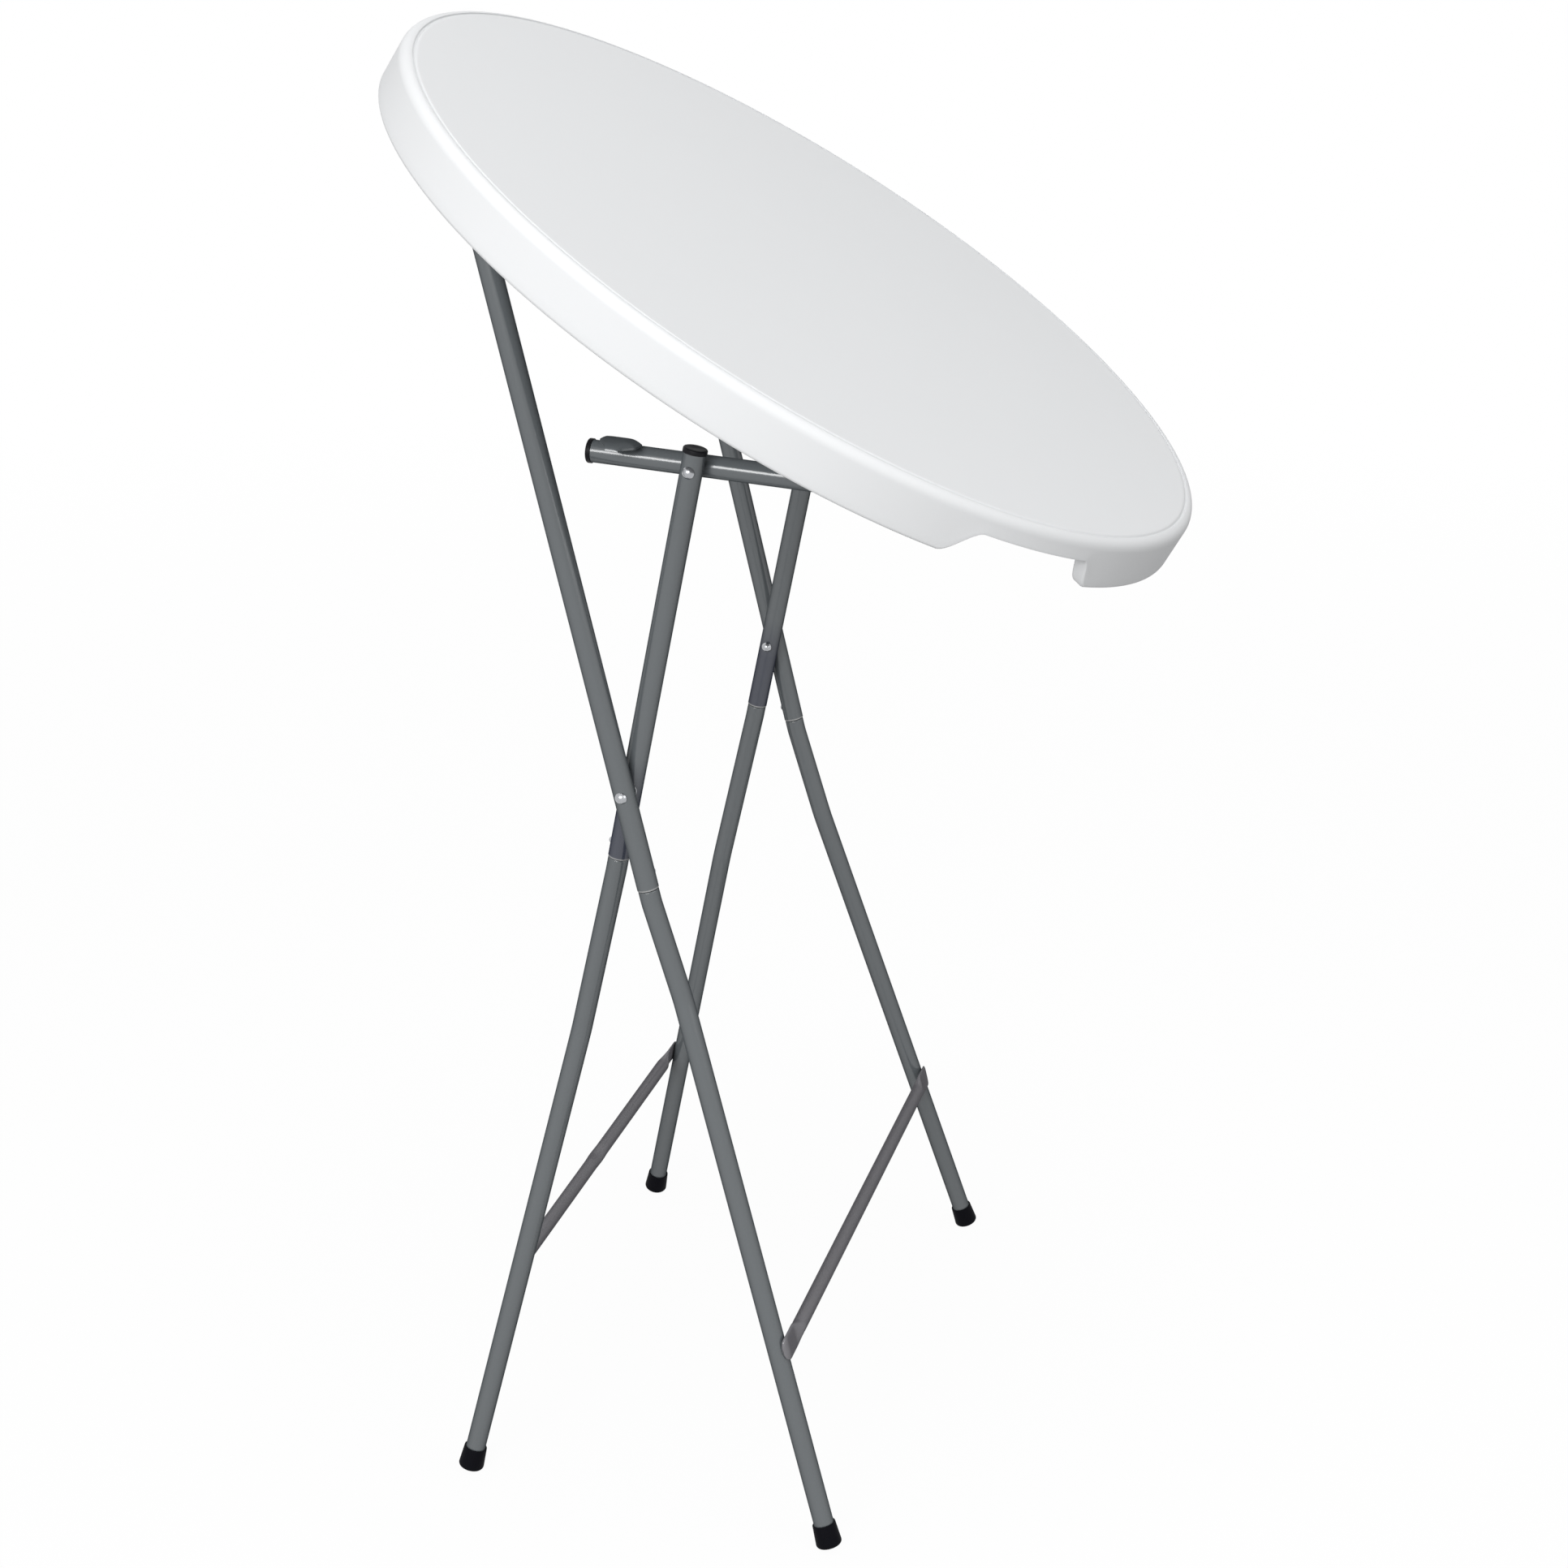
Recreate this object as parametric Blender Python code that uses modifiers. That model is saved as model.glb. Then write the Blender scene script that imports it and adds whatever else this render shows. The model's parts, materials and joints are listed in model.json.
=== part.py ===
"""Folding bistro table, bar height, with a round moulded top on two crossing tubular leg frames.

The outer frame hangs from a hinge tube under one half of the top. The inner frame turns on the
outer one at the scissor bolts, and two knee links join its upper ends to a second hinge tube
under the other half of the top. The table stands half unfolded: the opening angle between the
two frames sets the slope of the legs, the height of the scissor bolts and the tilt of the top.

Lengths are metres and angles are radians. X runs from the hinge side to the knee side, Y from
the front pair of legs to the back pair, Z up. The floor is at Z = 0.
"""
import math

import bmesh
import bpy
from mathutils import Matrix, Vector

# Round top
TOP_RADIUS = 0.400
RIM_DEPTH = 0.045
RIM_FLARE = 0.001
RIM_WIDTH = 0.014
RIM_DRAFT = 0.005
RIM_EDGE_RADIUS = 0.003
SHOULDER_RADIUS = 0.009
GROOVE_INSET = 0.0115
GROOVE_WIDTH = 0.0040
GROOVE_DEPTH = 0.0010
PANEL_FILLET = 0.006
TOP_STEPS = 72

# Notches in the rim, which let the folded legs and a hand pass
NOTCH_AZIMUTH = math.radians(41.0)
NOTCH_ROOF_DEPTH = 0.0195
NOTCH_SLOPE_FOOT = 0.086
NOTCH_SLOPE_TOP = 0.054
NOTCH_WALL_FOOT = 0.088
NOTCH_WALL_TOP = 0.064
NOTCH_CORNER_RADIUS = 0.006
NOTCH_SLOPE_STEPS = 7

# Linkage in the plane across the hinge tubes
OPENING_ANGLE = math.radians(24.8)
HINGE_DEPTH = 0.026
PIVOT_TO_HINGE = 0.546
PIVOT_TO_KNEE = 0.288
HINGE_TO_RIM = 0.14585

# Tubes
UPPER_TUBE_RADIUS = 0.0096
LOWER_TUBE_RADIUS = 0.0092
TUBE_WALL = 0.0012
LEG_TO_RIM = 0.024
PIVOT_GAP = 0.0015
ELBOW_RADIUS = 0.035
ELBOW_LEAD = 0.004
SLEEVE_LENGTH = 0.042
SWAGE_SHOULDER = 0.004
TUBE_RESOLUTION = 4
ELBOW_STEPS = 5

# Legs: drops are measured along the leg from the scissor bolt
OUTER_JOINT_DROP = 0.0870
OUTER_BEND_DROP = 0.1935
OUTER_LEG_LENGTH = 0.7125
OUTER_KINK = math.radians(3.8)
OUTER_SPLAY = math.radians(7.1)
INNER_JOINT_DROP = 0.0670
INNER_BEND_DROP = 0.242
INNER_LEG_LENGTH = 0.6961
INNER_KINK = math.radians(1.5)
INNER_SPLAY = math.radians(7.8)
KINK_LEAD = 0.0125
KINK_RADIUS = 0.100
KINK_STEPS = 2
SPLAY_RADIUS = 0.120
SPLAY_STEPS = 3

# Rubber feet and plastic plugs
FOOT_HEIGHT = 0.022
FOOT_LIP = 0.0012
FOOT_WALL = 0.0024
FOOT_FLOOR = 0.0045
FOOT_EDGE_RADIUS = 0.0034
FOOT_STEPS = 18
PLUG_CAP = 0.0042
PLUG_OVERHANG = 0.0009
PLUG_EDGE_RADIUS = 0.0014
PLUG_STEM = 0.012
KNEE_TO_TUBE_END = 0.0152

# Knee links
LINK_TAIL = 0.0925
STOP_DISTANCE = 0.064
STOP_LENGTH = 0.031
STOP_CORNER = 0.007
STOP_PLATE = 0.0020
STOP_SPAN = 0.033
STOP_RISE = 0.0048
STOP_SKEW = 0.0045
STOP_FOOT_SHIFT = 0.0025
STOP_STEPS = 10

# Braces between the lower legs
BRACE_RADIUS = 0.0068
BRACE_FLAT_THICKNESS = 0.0032
BRACE_FLAT_HEIGHT = 0.0225
BRACE_FLAT_REACH = 0.018
BRACE_TAPER = 0.020
BRACE_OVERHANG = 0.0060
BRACE_CRIMP_LENGTH = 0.040
BRACE_CRIMP_SHARE = 0.20
OUTER_BRACE_RISE = 0.1915
INNER_BRACE_RISE = 0.191
BRACE_SIDES = 16
BRACE_SEAT_SIDES = 24

# Bolts, washers and cap nuts
BOLT_RADIUS = 0.0029
BOLT_HEAD_RADIUS = 0.0052
BOLT_HEAD_HEIGHT = 0.0030
NUT_RADIUS = 0.0048
NUT_HEIGHT = 0.0060
WASHER_RADIUS = 0.0075
FASTENER_STEPS = 12
DOME_STEPS = 3

# Snap buttons that lock the lower legs in their sleeves
BUTTON_RISE = 0.0135
BUTTON_RADIUS = 0.0030
BUTTON_REACH = 0.0020
BUTTON_TRAVEL = 0.0034
BUTTON_TURN = math.radians(53.0)
SPRING_THICKNESS = 0.0006
SPRING_WIDTH = 0.0060
SPRING_LENGTH = 0.022

# Hinge clamps under the top
CLAMP_WIDTH = 0.020
CLAMP_THICKNESS = 0.0015
CLAMP_FLANGE = 0.016
CLAMP_TO_ELBOW = 0.0318
CLAMP_STEPS = 8
SCREW_RADIUS = 0.0020
SCREW_HEAD_RADIUS = 0.0040
SCREW_HEAD_HEIGHT = 0.0022
SCREW_DEPTH = 0.0095

# Clearances
SEAT_GAP = 0.0003
RUNNING_GAP = 0.0004
CUT_OVERRUN = 0.004
MERGE_DISTANCE = 0.00001

# Finishes: base colour, roughness, metallic
GREY_STEEL = ((0.155, 0.168, 0.172), 0.42, 0.25)
WHITE_PLASTIC = ((0.80, 0.81, 0.82), 0.45, 0.0)
BLACK_PLASTIC = ((0.010, 0.010, 0.012), 0.50, 0.0)
BLACK_RUBBER = ((0.012, 0.012, 0.014), 0.70, 0.0)
BRIGHT_ZINC = ((0.72, 0.73, 0.74), 0.22, 1.0)
SPRING_STEEL = ((0.45, 0.46, 0.48), 0.30, 1.0)

# Sizes that follow from the driving ones
HINGE_SPACING = 2 * (TOP_RADIUS - HINGE_TO_RIM)
LINK_LENGTH = HINGE_SPACING - PIVOT_TO_HINGE + PIVOT_TO_KNEE
LINK_SPACING = UPPER_TUBE_RADIUS * 2 + PIVOT_GAP
RIM_WALL_RADIUS = TOP_RADIUS - RIM_WIDTH - RIM_DRAFT
HALF_CHORD = math.sqrt(RIM_WALL_RADIUS ** 2 - (HINGE_SPACING / 2 + UPPER_TUBE_RADIUS) ** 2)
OUTER_LEG_Y = HALF_CHORD - LEG_TO_RIM - UPPER_TUBE_RADIUS
INNER_LEG_Y = OUTER_LEG_Y - LINK_SPACING
LINK_Y = INNER_LEG_Y - LINK_SPACING
CLAMP_STATION = LINK_Y - ELBOW_RADIUS - ELBOW_LEAD - CLAMP_TO_ELBOW
PANEL_DEPTH = HINGE_DEPTH - UPPER_TUBE_RADIUS - RUNNING_GAP
SWAGE_RADIUS = UPPER_TUBE_RADIUS - TUBE_WALL - SEAT_GAP
BOLT_HOLE_RADIUS = BOLT_RADIUS + RUNNING_GAP
BUTTON_HOLE_RADIUS = BUTTON_RADIUS + RUNNING_GAP
FOOT_RADIUS = LOWER_TUBE_RADIUS + SEAT_GAP + FOOT_WALL
FOOT_FLAT_RADIUS = FOOT_RADIUS - FOOT_EDGE_RADIUS
TUBE_SIDES = 4 + 2 * TUBE_RESOLUTION


class Leg:
    """The centre line of one leg, in the frame of its own pair, whose Z runs up the upper tube."""

    def __init__(self, y, lean, joint_drop, bend_drop, length, kink, splay):
        side = math.copysign(1.0, y)
        down = Vector((lean * math.sin(kink), 0.0, -math.cos(kink)))
        self.y = y
        self.side = side
        self.lean = lean
        self.mouth = Vector((0.0, y, -joint_drop))
        self.kink = Vector((0.0, y, -joint_drop - KINK_LEAD))
        self.bend = self.kink + down * (bend_drop - joint_drop - KINK_LEAD)
        self.run = (down * math.cos(splay) + Vector((0.0, side, 0.0)) * math.sin(splay)).normalized()
        self.foot = self.bend + self.run * (length - bend_drop)

    def up_from_foot(self, distance):
        """A point on the splayed run, the distance up from the underside of the foot."""
        return self.foot - self.run * distance


def make_legs(y, lean, joint_drop, bend_drop, length, kink, splay):
    """The front leg and the back leg of one frame."""
    return {name: Leg(side * y, lean, joint_drop, bend_drop, length, kink, splay)
            for name, side in (("front", -1.0), ("back", 1.0))}


OUTER_LEGS = make_legs(OUTER_LEG_Y, 1.0, OUTER_JOINT_DROP, OUTER_BEND_DROP, OUTER_LEG_LENGTH,
                       OUTER_KINK, OUTER_SPLAY)
INNER_LEGS = make_legs(INNER_LEG_Y, -1.0, INNER_JOINT_DROP, INNER_BEND_DROP, INNER_LEG_LENGTH,
                       INNER_KINK, INNER_SPLAY)


# The pose: where each frame stands and how far it leans

def turn_about_y(angle):
    """The rotation that carries +Z towards +X by the angle."""
    return Matrix.Rotation(angle, 4, "Y")


def lowest_below_pivot(leg, angle):
    """Height of the lowest point of a foot below the scissor bolt, for a frame leant by the angle."""
    turn = turn_about_y(angle)
    centre = turn @ leg.foot
    slope = (turn @ leg.run).angle(Vector((0.0, 0.0, -1.0)))
    return FOOT_FLAT_RADIUS * math.sin(slope) + FOOT_EDGE_RADIUS * (1.0 - math.cos(slope)) - centre.z


def lean_of_outer_frame():
    """The lean at which the feet of both frames reach the floor together, found by halving."""
    low, high = 0.0, OPENING_ANGLE
    for _ in range(50):
        middle = (low + high) / 2
        outer = lowest_below_pivot(OUTER_LEGS["front"], -middle)
        inner = lowest_below_pivot(INNER_LEGS["front"], OPENING_ANGLE - middle)
        if outer > inner:
            low = middle
        else:
            high = middle
    return (low + high) / 2


OUTER_LEAN = lean_of_outer_frame()
INNER_LEAN = OPENING_ANGLE - OUTER_LEAN
PIVOT = Vector((0.0, 0.0, lowest_below_pivot(OUTER_LEGS["front"], -OUTER_LEAN)))
HINGE = PIVOT + turn_about_y(-OUTER_LEAN) @ Vector((0.0, 0.0, PIVOT_TO_HINGE))
KNEE = PIVOT + turn_about_y(INNER_LEAN) @ Vector((0.0, 0.0, PIVOT_TO_KNEE))


def knee_side_hinge():
    """The second hinge of the top, where the circles of the link and of the top meet."""
    across = KNEE - HINGE
    gap = across.length
    along = (HINGE_SPACING ** 2 - LINK_LENGTH ** 2 + gap ** 2) / (2 * gap)
    height = math.sqrt(HINGE_SPACING ** 2 - along ** 2)
    forward = across.normalized()
    upward = Vector((-forward.z, 0.0, forward.x))
    return HINGE + forward * along + upward * height


LINK_HINGE = knee_side_hinge()
TOP_TILT = math.atan2(HINGE.z - LINK_HINGE.z, LINK_HINGE.x - HINGE.x)
LINK_TILT = math.atan2(KNEE.z - LINK_HINGE.z, LINK_HINGE.x - KNEE.x)


# Scene helpers

def clear_scene():
    """Start from an empty file."""
    for thing in list(bpy.data.objects):
        bpy.data.objects.remove(thing, do_unlink=True)


def new_collection(name):
    """A collection in the scene."""
    collection = bpy.data.collections.new(name)
    bpy.context.scene.collection.children.link(collection)
    return collection


def finish_material(name, finish):
    """A plain Principled material for one piece."""
    colour, roughness, metallic = finish
    material = bpy.data.materials.new(name + "_finish")
    material.use_nodes = True
    shader = material.node_tree.nodes["Principled BSDF"]
    shader.inputs["Base Color"].default_value = (*colour, 1.0)
    shader.inputs["Roughness"].default_value = roughness
    shader.inputs["Metallic"].default_value = metallic
    material.diffuse_color = (*colour, 1.0)
    return material


def add_axis(name, location, rotation, parent=None):
    """An empty that stands on a joint's axis and carries the pieces of one body."""
    axis = bpy.data.objects.new(name, None)
    axis.empty_display_size = ELBOW_RADIUS
    PARTS.objects.link(axis)
    axis.parent = parent
    axis.matrix_local = Matrix.Translation(location) @ rotation
    return axis


def add_piece(name, mesh, parent, finish, place=Matrix.Identity(4), smooth_angle=40.0):
    """One named piece, carried by an empty, shaded smooth between its sharp edges."""
    piece = bpy.data.objects.new(name, mesh)
    PARTS.objects.link(piece)
    piece.parent = parent
    piece.matrix_local = place
    if not mesh.materials:
        mesh.materials.append(finish_material(name, finish))
    mesh.shade_smooth()
    mesh.set_sharp_from_angle(angle=math.radians(smooth_angle))
    return piece


def along(origin, direction):
    """A placement whose Z points along the direction from the origin."""
    direction = Vector(direction).normalized()
    turn = Vector((0.0, 0.0, 1.0)).rotation_difference(direction).to_matrix().to_4x4()
    return Matrix.Translation(origin) @ turn


# Shape helpers

def rounded_path(corners, radii, steps):
    """Straight runs between the corners, with an arc of the given radius at each inner corner."""
    points = [Vector(corners[0])]
    for before, here, after, radius, count in zip(corners, corners[1:], corners[2:], radii, steps):
        back = (Vector(before) - Vector(here)).normalized()
        ahead = (Vector(after) - Vector(here)).normalized()
        turn = math.pi - back.angle(ahead)
        reach = radius * math.tan(turn / 2)
        centre = Vector(here) + (back + ahead).normalized() * radius / math.cos(turn / 2)
        first = (Vector(here) + back * reach - centre).normalized()
        last = (Vector(here) + ahead * reach - centre).normalized()
        points += [centre + first.slerp(last, step / count) * radius for step in range(count + 1)]
    points.append(Vector(corners[-1]))
    return points


def swept_mesh(name, points, radii, capped=False):
    """The surface of a round tube along the points, open at its ends unless it is capped."""
    curve = bpy.data.curves.new(name, "CURVE")
    curve.dimensions = "3D"
    curve.bevel_depth = 1.0
    curve.bevel_resolution = TUBE_RESOLUTION
    curve.use_fill_caps = capped
    spline = curve.splines.new("POLY")
    spline.points.add(len(points) - 1)
    for knot, point, radius in zip(spline.points, points, radii):
        knot.co = (*point, 1.0)
        knot.radius = radius
    return mesh_of_curve(name, curve)


def mesh_of_curve(name, curve):
    """The welded mesh of a curve, which is removed."""
    holder = bpy.data.objects.new(name, curve)
    bpy.context.scene.collection.objects.link(holder)
    bpy.context.view_layer.update()
    evaluated = holder.evaluated_get(bpy.context.evaluated_depsgraph_get())
    mesh = bpy.data.meshes.new_from_object(evaluated)
    mesh.name = name
    bpy.data.objects.remove(holder, do_unlink=True)
    bpy.data.curves.remove(curve)
    weld(mesh)
    return mesh


def weld(mesh):
    """Merge doubled points and turn every face outward."""
    shape = bmesh.new()
    shape.from_mesh(mesh)
    bmesh.ops.remove_doubles(shape, verts=shape.verts, dist=MERGE_DISTANCE)
    bmesh.ops.recalc_face_normals(shape, faces=shape.faces)
    shape.to_mesh(mesh)
    shape.free()


def add_wall(piece, thickness):
    """Give an open tube its wall, laid inward from the surface."""
    wall = piece.modifiers.new("wall", "SOLIDIFY")
    wall.thickness = thickness
    wall.offset = -1.0
    wall.use_even_offset = True
    wall.use_rim = True


def turned_mesh(name, outline):
    """A mesh of one outline in the XZ plane, for a Screw modifier to turn about Z."""
    mesh = bpy.data.meshes.new(name)
    count = len(outline)
    points = [(radius, 0.0, height) for radius, height in outline]
    edges = [(index, index + 1) for index in range(count - 1)]
    if outline[0][0] > MERGE_DISTANCE:
        edges.append((count - 1, 0))
    mesh.from_pydata(points, edges, [])
    return mesh


def turn(piece, steps):
    """Turn the outline of a piece into a solid of revolution."""
    screw = piece.modifiers.new("turn", "SCREW")
    screw.axis = "Z"
    screw.steps = steps
    screw.render_steps = steps
    screw.use_merge_vertices = True
    screw.merge_threshold = MERGE_DISTANCE
    screw.use_smooth_shade = True
    return screw


def add_turned(name, outline, steps, parent, finish, place=Matrix.Identity(4)):
    """A turned piece: its outline runs from the top down its outer side."""
    piece = add_piece(name, turned_mesh(name, outline), parent, finish, place)
    turn(piece, steps)
    return piece


def arc_points(centre, radius, start, end, steps):
    """Points of an arc in an outline, from one angle to another."""
    span = (end - start) / steps
    return [(centre[0] + radius * math.cos(start + span * step),
             centre[1] + radius * math.sin(start + span * step)) for step in range(steps + 1)]


def outline_mesh(name, outline, depth):
    """A flat outline in its XY plane, extruded to the full depth, half on each side."""
    curve = bpy.data.curves.new(name, "CURVE")
    curve.dimensions = "2D"
    curve.fill_mode = "BOTH"
    curve.extrude = depth / 2
    spline = curve.splines.new("POLY")
    spline.points.add(len(outline) - 1)
    for knot, point in zip(spline.points, outline):
        knot.co = (point[0], point[1], 0.0, 1.0)
    spline.use_cyclic_u = True
    return mesh_of_curve(name, curve)


def cylinder_mesh(name, places, radius, length, sides):
    """Separate cylinders in one mesh, each centred on its placement and running along its Z."""
    shape = bmesh.new()
    for place in places:
        bmesh.ops.create_cone(shape, cap_ends=True, segments=sides, radius1=radius, radius2=radius,
                              depth=length, matrix=place)
    mesh = bpy.data.meshes.new(name)
    shape.to_mesh(mesh)
    shape.free()
    return mesh


def cut(piece, name, mesh, place=Matrix.Identity(4)):
    """Take the shape of a cutter out of a piece. The cutter is placed in the piece's own frame."""
    cutter = bpy.data.objects.new(name, mesh)
    CUTTERS.objects.link(cutter)
    cutter.parent = piece
    cutter.matrix_local = place
    cutter.hide_render = True
    cutter.display_type = "WIRE"
    boolean = piece.modifiers.new(name, "BOOLEAN")
    boolean.operation = "DIFFERENCE"
    boolean.object = cutter
    return cutter


def loft_mesh(name, rings):
    """A closed skin over rings of points with equal counts, with a flat end at each end ring."""
    shape = bmesh.new()
    loops = [[shape.verts.new(point) for point in ring] for ring in rings]
    count = len(rings[0])
    for lower, upper in zip(loops, loops[1:]):
        for index in range(count):
            following = (index + 1) % count
            shape.faces.new((lower[index], lower[following], upper[following], upper[index]))
    shape.faces.new(list(reversed(loops[0])))
    shape.faces.new(loops[-1])
    bmesh.ops.recalc_face_normals(shape, faces=shape.faces)
    mesh = bpy.data.meshes.new(name)
    shape.to_mesh(mesh)
    shape.free()
    return mesh


# Fastener outlines, with the seat of the head at Z = 0 and the shank below it

def domed_outline(head_radius, head_height, shank_radius, shank_length):
    """A low dome on a shank."""
    ball = (head_radius ** 2 + head_height ** 2) / (2 * head_height)
    sweep = math.asin(head_radius / ball)
    dome = [(ball * math.sin(sweep * step / DOME_STEPS),
             head_height - ball + ball * math.cos(sweep * step / DOME_STEPS))
            for step in range(DOME_STEPS + 1)]
    return dome + [(shank_radius, 0.0), (shank_radius, -shank_length), (0.0, -shank_length)]


def plug_outline(cap_radius, stem_radius):
    """A low cap with a rounded edge on a stem that fills the tube."""
    edge = arc_points((cap_radius - PLUG_EDGE_RADIUS, PLUG_CAP - PLUG_EDGE_RADIUS),
                      PLUG_EDGE_RADIUS, math.pi / 2, 0.0, 3)
    return [(0.0, PLUG_CAP), *edge, (cap_radius, 0.0), (stem_radius, 0.0),
            (stem_radius, -PLUG_STEM), (0.0, -PLUG_STEM)]


# Top

def top_outline():
    """Half the section of the top: the field, the groove, the shoulder, the rim and the underside."""
    groove = TOP_RADIUS - GROOVE_INSET
    half = GROOVE_WIDTH / 2
    side = TOP_RADIUS - RIM_FLARE
    shoulder = arc_points((side - SHOULDER_RADIUS, -SHOULDER_RADIUS), SHOULDER_RADIUS,
                          math.pi / 2, 0.0, 4)
    outer_edge = arc_points((TOP_RADIUS - RIM_EDGE_RADIUS, RIM_EDGE_RADIUS - RIM_DEPTH),
                            RIM_EDGE_RADIUS, 0.0, -math.pi / 2, 2)
    inner_edge = arc_points((TOP_RADIUS - RIM_WIDTH + RIM_EDGE_RADIUS, RIM_EDGE_RADIUS - RIM_DEPTH),
                            RIM_EDGE_RADIUS, -math.pi / 2, -math.pi, 2)
    fillet = arc_points((RIM_WALL_RADIUS - PANEL_FILLET, -PANEL_DEPTH - PANEL_FILLET), PANEL_FILLET,
                        0.0, math.pi / 2, 2)
    return [(0.0, 0.0), (groove - half, 0.0), (groove - half / 2, -GROOVE_DEPTH * 0.75),
            (groove, -GROOVE_DEPTH), (groove + half / 2, -GROOVE_DEPTH * 0.75),
            *shoulder, *outer_edge, *inner_edge, *fillet, (0.0, -PANEL_DEPTH)]


def notch_outline():
    """A notch seen from outside: a soft slope on one side, a roof and a steep wall on the other.

    X runs along the rim and Y up, with 0 at the level of the field."""
    fall = RIM_DEPTH - NOTCH_ROOF_DEPTH
    slope = []
    for step in range(NOTCH_SLOPE_STEPS + 1):
        share = step / NOTCH_SLOPE_STEPS
        slope.append((NOTCH_SLOPE_FOOT + (NOTCH_SLOPE_TOP - NOTCH_SLOPE_FOOT) * share,
                      -RIM_DEPTH + fall * (0.5 - 0.5 * math.cos(math.pi * share))))
    corner = arc_points((NOTCH_CORNER_RADIUS - NOTCH_WALL_TOP, -NOTCH_ROOF_DEPTH - NOTCH_CORNER_RADIUS),
                        NOTCH_CORNER_RADIUS, math.pi / 2, math.pi, 3)
    below = -RIM_DEPTH - CUT_OVERRUN
    return [(NOTCH_SLOPE_FOOT, below), *slope, *corner, (-NOTCH_WALL_FOOT, -RIM_DEPTH),
            (-NOTCH_WALL_FOOT, below)]


def screw_places():
    """Each clamp screw's place on the underside of the panel, in the frame of the top."""
    reach = UPPER_TUBE_RADIUS + RUNNING_GAP + CLAMP_THICKNESS + CLAMP_FLANGE / 2
    places = {}
    for tube, station_x in (("hinge", 0.0), ("link", HINGE_SPACING)):
        for end, station_y in (("front", -CLAMP_STATION), ("back", CLAMP_STATION)):
            for hand, side in (("left", -1.0), ("right", 1.0)):
                name = tube + "_clamp_screw_" + end + "_" + hand
                places[name] = Vector((station_x + side * reach, station_y, HINGE_DEPTH - PANEL_DEPTH))
    return places


def build_top(body):
    """The moulded top. Its field is above the hinge tubes by the hinge depth."""
    centre = Matrix.Translation((HINGE_SPACING / 2, 0.0, HINGE_DEPTH))
    top = add_turned("table_top", top_outline(), TOP_STEPS, body, WHITE_PLASTIC, centre)
    outline = notch_outline()
    length = RIM_WIDTH + RIM_DRAFT + PANEL_FILLET + 2 * CUT_OVERRUN
    middle = TOP_RADIUS + CUT_OVERRUN - length / 2
    for name, side in (("front", -1.0), ("back", 1.0)):
        azimuth = side * NOTCH_AZIMUTH
        radial = Vector((math.cos(azimuth), math.sin(azimuth), 0.0))
        tangent = Vector((-math.sin(azimuth) * side, math.cos(azimuth) * side, 0.0))
        normal = Vector((0.0, 0.0, 1.0))
        across = tangent.cross(normal)
        place = Matrix((tangent, normal, across)).transposed().to_4x4()
        place.translation = radial * middle
        cut(top, "notch_" + name, outline_mesh("notch_" + name, outline, length), place)
    shift = Vector((HINGE_SPACING / 2, 0.0, HINGE_DEPTH))
    holes = [Matrix.Translation(place - shift) for place in screw_places().values()]
    cut(top, "screw_holes", cylinder_mesh("screw_holes", holes, SCREW_RADIUS + SEAT_GAP,
                                          2 * (SCREW_DEPTH + SEAT_GAP), FASTENER_STEPS))
    return top


def clamp_outline():
    """A strap seen along the hinge tube: a flange, a half round under the tube and a flange.

    X runs across the tube and Y up, with 0 at the tube's axis."""
    inner = UPPER_TUBE_RADIUS + RUNNING_GAP
    outer = inner + CLAMP_THICKNESS
    seat = HINGE_DEPTH - PANEL_DEPTH - SEAT_GAP
    flange = seat - CLAMP_THICKNESS
    reach = outer + CLAMP_FLANGE
    under = arc_points((0.0, 0.0), outer, math.pi, 2 * math.pi, CLAMP_STEPS)
    over = arc_points((0.0, 0.0), inner, 2 * math.pi, math.pi, CLAMP_STEPS)
    return [(-reach, seat), (-reach, flange), (-outer, flange), *under, (outer, flange),
            (reach, flange), (reach, seat), (inner, seat), *over, (-inner, seat)]


def build_clamps(body):
    """Four strap clamps that hold the two hinge tubes under the panel, and their screws."""
    outline = clamp_outline()
    upright = Matrix.Rotation(math.pi / 2, 4, "X")
    reach = UPPER_TUBE_RADIUS + RUNNING_GAP + CLAMP_THICKNESS + CLAMP_FLANGE / 2
    for tube, station_x in (("hinge", 0.0), ("link", HINGE_SPACING)):
        for end, station_y in (("front", -CLAMP_STATION), ("back", CLAMP_STATION)):
            name = tube + "_clamp_" + end
            place = Matrix.Translation((station_x, station_y, 0.0)) @ upright
            clamp = add_piece(name, outline_mesh(name, outline, CLAMP_WIDTH), body, GREY_STEEL, place)
            holes = [Matrix.Translation((side * reach, HINGE_DEPTH - PANEL_DEPTH, 0.0)) @ upright
                     for side in (-1.0, 1.0)]
            cut(clamp, name + "_holes", cylinder_mesh(name + "_holes", holes, SCREW_RADIUS + SEAT_GAP,
                                                      2 * CUT_OVERRUN, FASTENER_STEPS))
    build_screws(body)


def build_screws(body):
    """The clamp screws, heads down, two to a clamp."""
    grip = SEAT_GAP + CLAMP_THICKNESS + SEAT_GAP
    outline = domed_outline(SCREW_HEAD_RADIUS, SCREW_HEAD_HEIGHT, SCREW_RADIUS, grip + SCREW_DEPTH)
    for name, place in screw_places().items():
        seat = place - Vector((0.0, 0.0, grip))
        add_turned(name, outline, FASTENER_STEPS, body, BRIGHT_ZINC, along(seat, (0.0, 0.0, -1.0)))


# Hinge tubes

def hinge_tube_mesh(name, half_length):
    """A straight tube along Y, open at its ends."""
    ends = [Vector((0.0, -half_length, 0.0)), Vector((0.0, half_length, 0.0))]
    return swept_mesh(name, ends, [UPPER_TUBE_RADIUS] * len(ends))


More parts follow.
